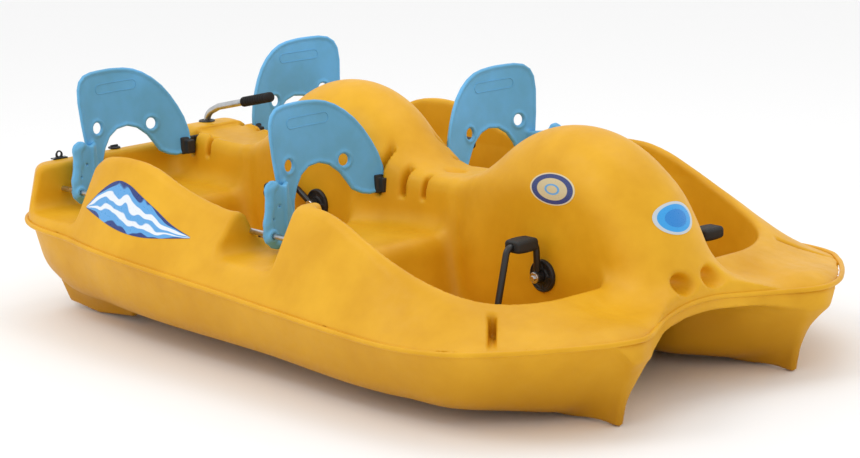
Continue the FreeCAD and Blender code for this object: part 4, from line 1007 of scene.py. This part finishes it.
def printed_vinyl(name, ground, bands, rings):
    """Printed vinyl: coloured bands by the sticker's own coordinates, with a fine grain."""
    material, nodes, links = new_material(name)
    shader = nodes["Principled BSDF"]
    shader.inputs["Specular IOR Level"].default_value = 0.5
    across = nodes.new("ShaderNodeUVMap")
    across.uv_map = "Sticker"
    split = nodes.new("ShaderNodeSeparateXYZ")
    links.new(across.outputs["UV"], split.inputs[0])
    if rings:
        length = nodes.new("ShaderNodeVectorMath")
        length.operation = "LENGTH"
        links.new(across.outputs["UV"], length.inputs[0])
        measure = length.outputs["Value"]
    else:
        wave = nodes.new("ShaderNodeMath")
        wave.operation = "MULTIPLY_ADD"
        links.new(noise(nodes, links, across.outputs["UV"], 2.4, 1.0, 0.3), wave.inputs[0])
        wave.inputs[1].default_value = 0.55
        links.new(split.outputs["Y"], wave.inputs[2])
        measure = wave.outputs[0]
    base = ground
    for start, colour in bands:
        edge = ramp(nodes, links, measure, start - 0.012, start + 0.012)
        base = mix_colour(nodes, links, edge, base, colour)
    grain = ramp(nodes, links, noise(nodes, links, across.outputs["UV"], 90.0, 3.0), 0.4, 0.7, 0.0, 0.10)
    base = mix_colour(nodes, links, grain, base, ground)
    links.new(base, shader.inputs["Base Color"])
    rough = ramp(nodes, links, noise(nodes, links, across.outputs["UV"], 14.0, 3.0), 0.3, 0.7, 0.24, 0.40)
    links.new(rough, shader.inputs["Roughness"])
    return material


# ------------------------------------------------------------------ stickers
# share along the wave, then height
WAVE_TOP = [(0.0, 0.392), (0.10, 0.440), (0.24, 0.478), (0.36, 0.474), (0.48, 0.454), (0.62, 0.428),
            (0.81, 0.392), (1.0, 0.369)]
WAVE_FOOT = [(0.0, 0.387), (0.14, 0.374), (0.30, 0.359), (0.50, 0.348), (0.66, 0.348), (0.81, 0.355),
             (1.0, 0.366)]


def on_hull(points, inward, steps=40):
    """Points moved along a direction until they reach the hull, and the hull's normals."""
    for _ in range(steps):
        points = points + inward * (0.7 * whole_distance(*points.T))[:, None]
    return points, unit_gradient(whole_distance, points)


def sticker(name, seeds, inward, marks):
    """A thin closed sheet laid on the hull; seeds is a grid of points off the hull and
    marks gives each its place on the sticker."""
    rows, columns = seeds.shape[:2]
    points, normals = on_hull(seeds.reshape(-1, 3), inward)
    top, under = points + normals * 0.0010, points - normals * 0.0006
    count = rows * columns
    ids = np.arange(count).reshape(rows, columns)
    faces = []
    for i in range(rows - 1):
        for j in range(columns - 1):
            a, b, c, d = ids[i, j], ids[i, j + 1], ids[i + 1, j + 1], ids[i + 1, j]
            faces += [(a, b, c, d), (d + count, c + count, b + count, a + count)]
    border = list(ids[0, :]) + list(ids[1:, -1]) + list(ids[-1, -2::-1]) + list(ids[-2:0:-1, 0])
    for a, b in zip(border, border[1:] + border[:1]):
        faces.append((b, a, a + count, b + count))
    every = [tuple(q) for q in np.concatenate([top, under])]
    mesh = shell_mesh(name, [(every, faces)], 60.0)
    layer = mesh.uv_layers.new(name="Sticker")
    flat = np.concatenate([marks.reshape(-1, 2), marks.reshape(-1, 2)])
    numbers = np.empty(len(mesh.loops), np.int32)
    mesh.loops.foreach_get("vertex_index", numbers)
    layer.data.foreach_set("uv", flat[numbers].astype(np.float32).ravel())
    return mesh


def oval_grid(steps=28):
    """A square grid of (u, v) eased into a round one."""
    u, v = np.meshgrid(np.linspace(-1, 1, steps), np.linspace(-1, 1, steps), indexing="ij")
    return u * np.sqrt(1.0 - 0.5 * v * v), v * np.sqrt(1.0 - 0.5 * u * u)


# ------------------------------------------------------------------ settings
class HullSettings(bpy.types.PropertyGroup):
    triangles: bpy.props.IntProperty(
        name="Triangles", description="Most triangles in each half of the hull",
        default=184000, min=20000, max=190000)
    rim: bpy.props.FloatProperty(
        name="Rim radius", description="Radius of the rolled rim around the hull",
        default=0.0075, min=0.002, max=0.0095, subtype="DISTANCE", unit="LENGTH")
    colour: bpy.props.FloatVectorProperty(
        name="Hull colour", description="Base colour of the moulded hull", subtype="COLOR",
        size=3, min=0.0, max=1.0, default=(0.75, 0.392, 0.006))
    cell: bpy.props.FloatProperty(
        name="Surface step", description="Spacing of the hull's surface points",
        default=0.0100, min=0.005, max=0.03, subtype="DISTANCE", unit="LENGTH")


class SeatSettings(bpy.types.PropertyGroup):
    colour: bpy.props.FloatVectorProperty(
        name="Seat colour", description="Base colour of the seatbacks", subtype="COLOR",
        size=3, min=0.0, max=1.0, default=(0.120, 0.430, 0.780))
    cell: bpy.props.FloatProperty(
        name="Surface step", description="Spacing of the seatbacks' surface points",
        default=0.0036, min=0.002, max=0.01, subtype="DISTANCE", unit="LENGTH")


class DriveSettings(bpy.types.PropertyGroup):
    blades: bpy.props.IntProperty(
        name="Blades", description="Blades on each paddle wheel", default=8, min=3, max=16)


class StageSettings(bpy.types.PropertyGroup):
    floor_size: bpy.props.FloatProperty(
        name="Floor size", description="Half width of the studio floor", default=40.0,
        min=5.0, subtype="DISTANCE", unit="LENGTH")
    sky: bpy.props.FloatProperty(
        name="Room light", description="Strength of the even light in the room", default=0.98, min=0.0)


class PEDALBOAT_OT_hull(bpy.types.Operator):
    """Builds the upper and lower mouldings of the hull"""

    bl_idname = "pedalboat.hull"
    bl_label = "Build hull"

    def execute(self, context):
        settings = context.scene.pedalboat_hull
        # The last value paints shade onto the hull's lower parts, darkening its colour towards the bottom.
        plastic = moulded_plastic("Hull polyethylene", tuple(settings.colour), roughness=0.46,
                                  grain_depth=0.16, specular=0.28, low_shade=0.66)
        cell = settings.cell * 1.0
        low = (-HALF_LENGTH - 0.03, 0.0, -0.02)
        high = (HALF_LENGTH + 0.03, HALF_BEAM + 0.03, cad_high.z + 0.02)

        def above_deck(x, y, z):
            return -below_deck(x, y, z)

        for name, cut, node in (("Hull_deck", above_deck, "deck"), ("Hull_lower", below_deck, "hull_bottom")):
            points, quads, _, middle = netted(whole_distance, cut, low, high, cell)
            mesh = thinned(mirrored_mesh(name, points, quads, middle), settings.triangles)
            shade_from(mesh, whole_distance, cut)
            if node == "deck":
                join_into(mesh, shell_mesh("Rim", [swept(rim_path(), settings.rim, 12, loop=True)]))
            add_piece(mesh, "boat", "hull_yellow", plastic, node)
        return {"FINISHED"}


class PEDALBOAT_OT_seats(bpy.types.Operator):
    """Builds the seatbacks, their tabs and the rods they ride on"""

    bl_idname = "pedalboat.seats"
    bl_label = "Build seats"

    def execute(self, context):
        settings = context.scene.pedalboat_seats
        blue = moulded_plastic("Backrest polyethylene", tuple(settings.colour), 0.46, 300.0, 0.22, 0.40)
        black = moulded_plastic("Tab nylon", (0.018, 0.017, 0.017), 0.50, 420.0, 0.30, 0.35)
        zinc = metal("Zinc plated rod", (0.62, 0.63, 0.64), 0.30, 0.72)
        cell = settings.cell * 1.0
        shell = carved("Back shape", seat_distance, (-0.06, 0.11, 0.325), (0.075, 0.62, 0.75), cell)
        pill = shell_mesh("Pill", [seat_pill()])
        tab = carved("Tab shape", tab_distance, (-0.010, 0.085, 0.428), (0.032, 0.166, 0.490), 0.0016)
        tab_lean = (SEAT_CENTRE_Y - 0.118) ** 2 / (2.0 * SEAT_RADIUS) - 0.018
        for row, side in itertools.product(ROWS, SIDES):
            name = row + "_" + side
            body = "seat_" + name
            away = side == "starboard"
            back = moved(shell, "Backrest_" + name, (SEAT_X[row], 0.0, 0.0), away)
            line = moved(pill, "pill", (SEAT_X[row], 0.0, 0.0), away)
            join_into(back, line)
            add_piece(back, body, "seat_blue", blue, "seatback_" + name)
            add_piece(moved(tab, "Tab_" + name, (SEAT_X[row] + tab_lean, 0.0, 0.0), away),
                      body, "black_plastic", black, "seat_tab_" + name)
            start, end = SEAT_X[row] - 0.062, SEAT_X[row] + 0.244
            profile = [(0.0, 0.0), (0.0, 0.0065), (0.0015, ROD_RADIUS), (end - start - 0.0015, ROD_RADIUS),
                       (end - start, 0.0065), (end - start, 0.0)]
            bar = turned(profile, (start, SIDES[side] * ROD_Y, ROD_Z), (1, 0, 0), 32)
            rod = shell_mesh("Side_rod_" + name, [bar])
            add_piece(rod, "boat", "zinc_steel", zinc, "seat_rod_" + name)
        return {"FINISHED"}


class PEDALBOAT_OT_drive(bpy.types.Operator):
    """Builds the axles, paddle wheels, bearings, cranks, pedals and their bolts"""

    bl_idname = "pedalboat.drive"
    bl_label = "Build drive"

    def execute(self, context):
        settings = context.scene.pedalboat_drive
        steel = metal("Axle steel", (0.36, 0.36, 0.37), 0.38, 0.65)
        bright = metal("Bright zinc", (0.72, 0.72, 0.72), 0.26, 0.75)
        paint = moulded_plastic("Black paint", (0.012, 0.012, 0.013), 0.34, 500.0, 0.18, 0.5)
        nylon = moulded_plastic("Bearing nylon", (0.016, 0.015, 0.015), 0.45, 420.0, 0.25, 0.4)
        rubber = moulded_plastic("Pedal rubber", (0.020, 0.020, 0.020), 0.58, 520.0, 0.35, 0.3)
        wheel_plastic = moulded_plastic("Wheel polyethylene", (0.022, 0.022, 0.024), 0.52, 300.0, 0.25, 0.35)
        bearing = carved("Bearing shape", bearing_distance, (-0.048, 0.104, -0.048),
                         (0.048, 0.174, 0.048), 0.0016)
        pedal = carved("Pedal shape", pedal_distance, (-0.033, -0.002, -0.021),
                       (0.033, 0.082, 0.021), 0.0015)
        for row in ROWS:
            x, z = AXLE[row]
            body = "drive_" + row
            span = [(0.0, 0.004), (0.0, 0.010), (0.001, 0.011), (2 * AXLE_END - 0.001, 0.011),
                    (2 * AXLE_END, 0.010), (2 * AXLE_END, 0.004)]
            axle = shell_mesh("Axle_" + row, [turned(span, (x, -AXLE_END, z), (0, 1, 0), 40)])
            add_piece(axle, body, "black_steel", steel, "axle_" + row)
            wheel = paddle_wheel("Paddle_wheel_" + row, settings.blades)
            wheel.transform(Matrix.Translation((x, 0.0, z)))
            add_piece(wheel, body, "wheel_black", wheel_plastic, "paddle_wheel_" + row)
            washer = [(0.0, 0.0), (0.0, 0.0145), (0.001, 0.0155), (0.004, 0.0155), (0.005, 0.0145),
                      (0.005, 0.0)]
            nut = [(0.0045, 0.0), (0.0045, 0.0078), (0.009, 0.0078), (0.010, 0.0062), (0.010, 0.0)]
            stub = [(-0.026, 0.0), (-0.026, 0.004), (0.001, 0.004), (0.001, 0.0)]
            parts = []
            for sign in SIDES.values():
                at, way = (x, sign * AXLE_END, z), (0, sign, 0)
                parts += [turned(washer, at, way, 40), turned(nut, at, way, 6), turned(stub, at, way, 16)]
            add_piece(shell_mesh("Crank_bolts_" + row, parts), body, "zinc_steel", bright,
                      "crank_bolts_" + row)
            for side, sign in SIDES.items():
                name = row + "_" + side
                add_piece(moved(bearing, "Axle_bearing_" + name, (x, 0.0, z), sign < 0.0), "boat",
                          "black_plastic", nylon, "axle_bearing_" + name)
                corners = crank_corners(row, side)
                bar = swept(filleted(corners, 0.026), 0.0094, 24)
                boss = [(-0.011, 0.0112), (-0.011, 0.0155), (-0.0095, 0.017), (0.0095, 0.017),
                        (0.011, 0.0155), (0.011, 0.0112)]
                hub = turned(boss, (x, sign * CRANK_MIDDLE, z), (0, sign, 0), 40)
                add_piece(shell_mesh("Crank_" + name, [bar, hub]), body, "black_steel", paint,
                          "crank_" + name)
                end = corners[-1]
                cap = [(0.0, 0.0096), (0.0, 0.013), (0.0007, 0.014), (0.0022, 0.014), (0.003, 0.0125),
                       (0.003, 0.0096)]
                ring = turned(cap, (end[0], end[1] - sign * 0.003, end[2]), (0, sign, 0), 32)
                add_piece(shell_mesh("Pin_washer_" + name, [ring]), body, "zinc_steel", bright,
                          "pin_washer_" + name)
                for place, pin, start in (("inner", corners[1], 0.1995), ("outer", corners[3], 0.3695)):
                    node = "pedal_%s_%s" % (name, place)
                    piece = moved(pedal, node.capitalize(), (pin[0], sign * start, pin[2]), sign < 0.0)
                    add_piece(piece, node, "black_rubber", rubber, node)
        return {"FINISHED"}


class PEDALBOAT_OT_steering(bpy.types.Operator):
    """Builds the rudder tube and bushes, the tiller, its grip and the rudder"""

    bl_idname = "pedalboat.steering"
    bl_label = "Build steering"

    def execute(self, context):
        zinc = metal("Tiller zinc", (0.60, 0.61, 0.62), 0.32, 0.70)
        nylon = moulded_plastic("Bush nylon", (0.018, 0.018, 0.018), 0.48, 420.0, 0.25, 0.4)
        foam = moulded_plastic("Grip foam", (0.016, 0.016, 0.017), 0.80, 700.0, 0.60, 0.2)
        plate = moulded_plastic("Rudder plastic", (0.020, 0.020, 0.021), 0.50, 340.0, 0.25, 0.35)
        bright = metal("Bolt zinc", (0.70, 0.70, 0.70), 0.30, 0.75)
        x, top = TILLER_X, CONSOLE_TOP
        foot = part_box("rudder_tube")[0][2]
        tube = [(foot, 0.0145), (foot, 0.0185), (foot + 0.001, 0.019), (top - 0.001, 0.019), (top, 0.0185),
                (top, 0.0145)]
        add_piece(shell_mesh("Rudder_tube", [turned(tube, (x, 0, 0), (0, 0, 1), 48)]), "boat",
                  "black_plastic", nylon, "rudder_tube")
        for place, face, way in (("upper", top, 1.0), ("lower", foot, -1.0)):
            bush = [(-0.030, 0.0112), (-0.030, 0.0144), (0.0, 0.0144), (0.0, 0.0260), (0.0035, 0.0260),
                    (0.005, 0.0245), (0.005, 0.0175), (0.0035, 0.0165), (0.0035, 0.0112)]
            bush = turned(bush, (x, 0, face), (0, 0, way), 48)
            add_piece(shell_mesh("Tiller_bush_" + place, [bush]), "boat", "black_plastic", nylon,
                      "tiller_bush_" + place)
        corners = [(x, 0, 0.057), (x, 0, top + 0.026), (x + 0.066, 0, top + 0.056),
                   (x + 0.330, 0, top + 0.116)]
        add_piece(shell_mesh("Tiller_tube", [swept(filleted(corners, 0.07, 12), 0.0109, 32)]), "steering",
                  "zinc_steel", zinc, "tiller_tube")
        bend, end = np.array(corners[2]), np.array(corners[3])
        along = (end - bend) / np.linalg.norm(end - bend)
        start = end - along * 0.140
        grip = [(0.0, 0.0112), (0.0, 0.0148), (0.0015, 0.016), (0.006, 0.016)]
        for k in range(9):
            ring = 0.016 + 0.0125 * k
            grip += [(ring, 0.016), (ring + 0.0012, 0.0153), (ring + 0.0030, 0.0153),
                     (ring + 0.0042, 0.016)]
        grip += [(0.134, 0.016), (0.139, 0.0152), (0.1425, 0.0125), (0.1438, 0.008), (0.144, 0.0),
                 (0.1398, 0.0), (0.1398, 0.0112)]
        add_piece(shell_mesh("Tiller_grip", [turned(grip, start, along, 40)], 50.0), "steering",
                  "grip_foam", foam, "tiller_grip")
        blade = [(0.050, 0.204), (0.0445, 0.105), (0.014, 0.046), (-0.083, 0.046), (-0.094, 0.066),
                 (-0.0945, 0.204)]

        def rudder_distance(px, py, pz):
            flat = polygon_distance(px - x, pz, blade)
            sheet = smooth_max(np.abs(py) - 0.004, flat, 0.004)
            rib = smooth_max(np.abs(pz - 0.150) - 0.004, np.abs(py) - 0.0055, 0.002)
            sheet = smooth_min(sheet, smooth_max(rib, flat + 0.012, 0.002), 0.003)
            radial = np.sqrt((px - x) ** 2 + py ** 2)
            sleeve = smooth_max(radial - 0.0168, np.maximum(0.0575 - pz, pz - 0.2045), 0.002)
            return smooth_max(smooth_min(sheet, sleeve, 0.006), 0.0112 - radial, 0.0006)

        rudder = carved("Rudder", rudder_distance, (x - 0.098, -0.022, 0.042),
                        (x + 0.054, 0.022, 0.208), 0.0022)
        add_piece(rudder, "steering", "black_plastic", plate, "rudder")
        head = [(0.0112, 0.0), (0.0112, 0.004), (0.0168, 0.004), (0.0168, 0.0068), (0.0200, 0.0068),
                (0.0209, 0.0055), (0.0209, 0.0)]
        bolt = shell_mesh("Rudder_bolt", [turned(head, (0, 0, 0), (0, s, 0), 6) for s in SIDES.values()])
        bolts = repeated("Rudder_bolts", bolt, 2, 0.0, (0.0, 0.0, 0.080))
        bolts.transform(Matrix.Translation((x, 0.0, 0.095)))
        add_piece(bolts, "steering", "zinc_steel", bright, "rudder_bolts")
        return {"FINISHED"}


class PEDALBOAT_OT_fittings(bpy.types.Operator):
    """Builds the mooring eyes, their screws and the drain plugs"""

    bl_idname = "pedalboat.fittings"
    bl_label = "Build fittings"

    def execute(self, context):
        nylon = moulded_plastic("Fitting nylon", (0.016, 0.016, 0.016), 0.46, 420.0, 0.25, 0.4)
        bright = metal("Screw steel", (0.66, 0.66, 0.66), 0.30, 0.75)
        low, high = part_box("mooring_eyes")
        x, z, y = 0.5 * (low[0] + high[0]), STERN_DECK_Z, EYE_Y

        def eye_distance(px, py, pz):
            base = box_distance(px, py, pz, (x, y, z + 0.002), (0.0108, 0.0258, 0.002), 0.0018)
            ring = np.sqrt((py - y) ** 2 + (pz - z - 0.014) ** 2) - 0.0118
            lug = box_distance(px, py, pz, (x, y, z + 0.008), (0.003, 0.0118, 0.008), 0.001)
            crown = smooth_min(smooth_max(ring, np.abs(px - x) - 0.003, 0.003), lug, 0.003)
            body = smooth_min(base, crown, 0.004)
            return smooth_max(body, 0.007 - np.sqrt((py - y) ** 2 + (pz - z - 0.014) ** 2), 0.002)

        eye = carved("Eye", eye_distance, (x - 0.013, y - 0.028, z - 0.003),
                     (x + 0.013, y + 0.028, z + 0.029), 0.0011)
        eyes = both_sides("Mooring_eyes", eye)
        add_piece(eyes, "boat", "black_plastic", nylon, "mooring_eyes")
        screw = [(-0.014, 0.0), (-0.013, 0.0015), (-0.010, 0.0019), (0.004, 0.0019), (0.004, 0.004),
                 (0.0052, 0.0037), (0.0062, 0.0024), (0.0065, 0.0)]
        one = shell_mesh("Screw", [turned(screw, (0, 0, 0), (0, 0, 1), 20)])
        pair = repeated("Screws", one, 2, 0.0, (0.0, 0.040, 0.0))
        pair.transform(Matrix.Translation((x, y - 0.020, z)))
        screws = both_sides("Mooring_screws", pair)
        add_piece(screws, "boat", "zinc_steel", bright, "mooring_screws")

        def plug_distance(px, py, pz):
            radial = np.sqrt((px - x) ** 2 + (py - PLUG_Y) ** 2)
            scallop = radial + 0.0008 * np.cos(12.0 * np.arctan2(py - PLUG_Y, px - x))
            head = smooth_max(scallop - 0.0190, np.maximum(z - pz, pz - z - 0.0058), 0.003)
            stem = smooth_max(radial - 0.0118, np.maximum(z - 0.0178 - pz, pz - z - 0.003), 0.002)
            grip = box_distance(px, py, pz, (x, PLUG_Y, z + 0.008), (0.003, 0.014, 0.0039), 0.002)
            return smooth_min(np.minimum(head, stem), grip, 0.003)

        plug = carved("Plug", plug_distance, (x - 0.022, PLUG_Y - 0.022, z - 0.020),
                      (x + 0.022, PLUG_Y + 0.022, z + 0.014), 0.0013)
        plugs = both_sides("Drain_plugs", plug)
        add_piece(plugs, "boat", "black_plastic", nylon, "drain_plugs")
        return {"FINISHED"}


class PEDALBOAT_OT_stickers(bpy.types.Operator):
    """Lays plain printed stickers on the topsides and the front dome"""

    bl_idname = "pedalboat.stickers"
    bl_label = "Lay stickers"

    def execute(self, context):
        navy, sky, white = (0.010, 0.035, 0.190), (0.10, 0.36, 0.72), (0.80, 0.84, 0.88)
        sand, pale_sand, grey = (0.62, 0.52, 0.30), (0.70, 0.62, 0.40), (0.55, 0.60, 0.62)
        deep_blue, mid_blue = (0.012, 0.22, 0.62), (0.03, 0.34, 0.76)
        waves = [(0.34, sky), (0.52, white), (0.66, sky), (0.80, white), (1.02, sky), (1.16, navy)]
        wave_print = printed_vinyl("Wave vinyl", navy, waves, False)
        rings = [(0.24, sky), (0.34, sand), (0.68, navy), (0.93, pale_sand)]
        ring_print = printed_vinyl("Ring vinyl", sand, rings, True)
        badge_print = printed_vinyl("Badge vinyl", deep_blue, [(0.55, mid_blue), (0.84, grey)], True)
        low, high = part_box("side_stickers")
        start, end = low[0] + 0.003, high[0] - 0.003
        share = np.linspace(0.0, 1.0, 64)
        upper = curve(share, WAVE_TOP)
        under = curve(share, WAVE_FOOT)
        level = np.linspace(0.0, 1.0, 14)
        seeds = np.empty((len(share), len(level), 3))
        seeds[..., 0] = (start + share * (end - start))[:, None]
        seeds[..., 1] = 0.80
        seeds[..., 2] = under[:, None] + (upper - under)[:, None] * level[None, :]
        marks = np.stack(np.broadcast_arrays(3.0 * share[:, None], level[None, :]), -1)
        side = sticker("Wave", seeds, np.array((0.0, -1.0, 0.0)), marks)
        both = both_sides("Side_stickers", side)
        add_piece(both, "boat", "sticker_vinyl", wave_print, "side_stickers")
        u, v = oval_grid()
        low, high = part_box("dome_stickers")
        half_x, half_z = 0.5 * (high[0] - low[0]) - 0.001, 0.5 * (high[2] - low[2]) - 0.001
        seeds = np.empty((*u.shape, 3))
        seeds[..., 0] = 0.5 * (low[0] + high[0]) + half_x * u
        seeds[..., 1] = 0.26
        seeds[..., 2] = 0.5 * (low[2] + high[2]) + half_z * v
        marks = np.stack((u, v), -1)
        disc = sticker("Disc", seeds, np.array((0.0, -1.0, 0.0)), marks)
        both = both_sides("Dome_stickers", disc)
        add_piece(both, "boat", "sticker_vinyl", ring_print, "dome_stickers")
        low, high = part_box("bow_badge")
        seeds[..., 0] = 1.10
        seeds[..., 1] = (high[1] - 0.001) * u
        seeds[..., 2] = 0.5 * (low[2] + high[2]) + (0.5 * (high[2] - low[2]) - 0.001) * v
        badge = sticker("Bow_badge", seeds, np.array((-1.0, 0.0, 0.0)), marks)
        add_piece(badge, "boat", "badge_blue", badge_print, "bow_badge")
        return {"FINISHED"}


class PEDALBOAT_OT_stage(bpy.types.Operator):
    """Sets the floor, the lights and the camera"""

    bl_idname = "pedalboat.stage"
    bl_label = "Set stage"

    def execute(self, context):
        settings = context.scene.pedalboat_stage
        size = settings.floor_size
        mesh = bpy.data.meshes.new("Floor")
        corners = [(-size, -size, 0), (size, -size, 0), (size, size, 0), (-size, size, 0)]
        mesh.from_pydata(corners, [], [(0, 1, 2, 3)])
        floor = bpy.data.objects.new("Floor", mesh)
        context.scene.collection.objects.link(floor)
        material, nodes, _ = new_material("Floor paint")
        shader = nodes["Principled BSDF"]
        shader.inputs["Base Color"].default_value = (0.93, 0.93, 0.93, 1.0)
        shader.inputs["Roughness"].default_value = 0.9
        mesh.materials.append(material)
        world = bpy.data.worlds.new("Room")
        context.scene.world = world
        world.use_nodes = True
        back = world.node_tree.nodes["Background"]
        back.inputs["Color"].default_value = (1.0, 1.0, 1.0, 1.0)
        back.inputs["Strength"].default_value = settings.sky
        lamps = (
            ("Key", (-1.2, -3.0, 4.6), (0.1, 0.0, 0.3), 2.4, 45.0),
            ("Top", (0.4, 1.0, 4.4), (0.1, 0.0, 0.3), 2.6, 25.0),
        )
        for name, place, aim, width, power in lamps:
            data = bpy.data.lights.new(name, "AREA")
            data.shape = "DISK"
            data.size = width
            data.energy = power
            lamp = bpy.data.objects.new(name, data)
            context.scene.collection.objects.link(lamp)
            lamp.location = place
            lamp.rotation_euler = (Vector(aim) - Vector(place)).to_track_quat("-Z", "Y").to_euler()
        yaw, pitch, roll = CAMERA_YAW, CAMERA_PITCH, CAMERA_ROLL
        look = Vector((math.cos(pitch) * math.cos(yaw), math.cos(pitch) * math.sin(yaw), -math.sin(pitch)))
        right = look.cross(Vector((0, 0, 1))).normalized()
        up = right.cross(look)
        across = math.cos(roll) * right + math.sin(roll) * up
        upward = -math.sin(roll) * right + math.cos(roll) * up
        data = bpy.data.cameras.new("Camera")
        data.sensor_width = 36.0
        data.lens = CAMERA_LENS
        data.shift_x = CAMERA_SHIFT
        data.clip_end = 200.0
        camera = bpy.data.objects.new("Camera", data)
        context.scene.collection.objects.link(camera)
        turn = Matrix((across, upward, -look)).transposed().to_4x4()
        camera.matrix_world = Matrix.Translation(CAMERA_PLACE) @ turn
        context.scene.camera = camera
        context.scene.view_settings.view_transform = "Standard"
        return {"FINISHED"}


class PEDALBOAT_PT_panel(bpy.types.Panel):
    """Lists the build steps of the boat"""

    bl_idname = "PEDALBOAT_PT_panel"
    bl_label = "Pedal Boat"
    bl_space_type = "VIEW_3D"
    bl_region_type = "UI"
    bl_category = "Pedal Boat"

    def draw(self, context):
        layout = self.layout
        for step in STEPS:
            layout.operator("pedalboat." + step)
        for group in (getattr(context.scene, name) for name in GROUPS):
            for name in group.__annotations__:
                layout.prop(group, name)


STEPS = ("hull", "seats", "drive", "steering", "fittings", "stickers", "stage")
GROUPS = {"pedalboat_hull": HullSettings, "pedalboat_seats": SeatSettings,
          "pedalboat_drive": DriveSettings, "pedalboat_stage": StageSettings}
CLASSES = (HullSettings, SeatSettings, DriveSettings, StageSettings, PEDALBOAT_OT_hull, PEDALBOAT_OT_seats,
           PEDALBOAT_OT_drive, PEDALBOAT_OT_steering, PEDALBOAT_OT_fittings, PEDALBOAT_OT_stickers,
           PEDALBOAT_OT_stage, PEDALBOAT_PT_panel)


def register():
    for cls in CLASSES:
        bpy.utils.register_class(cls)
    for name, cls in GROUPS.items():
        setattr(bpy.types.Scene, name, bpy.props.PointerProperty(type=cls))


def unregister():
    for name in GROUPS:
        delattr(bpy.types.Scene, name)
    for cls in reversed(CLASSES):
        bpy.utils.unregister_class(cls)


def main():
    register()
    for step in STEPS:
        getattr(bpy.ops.pedalboat, step)()


if __name__ == "__main__":
    main()
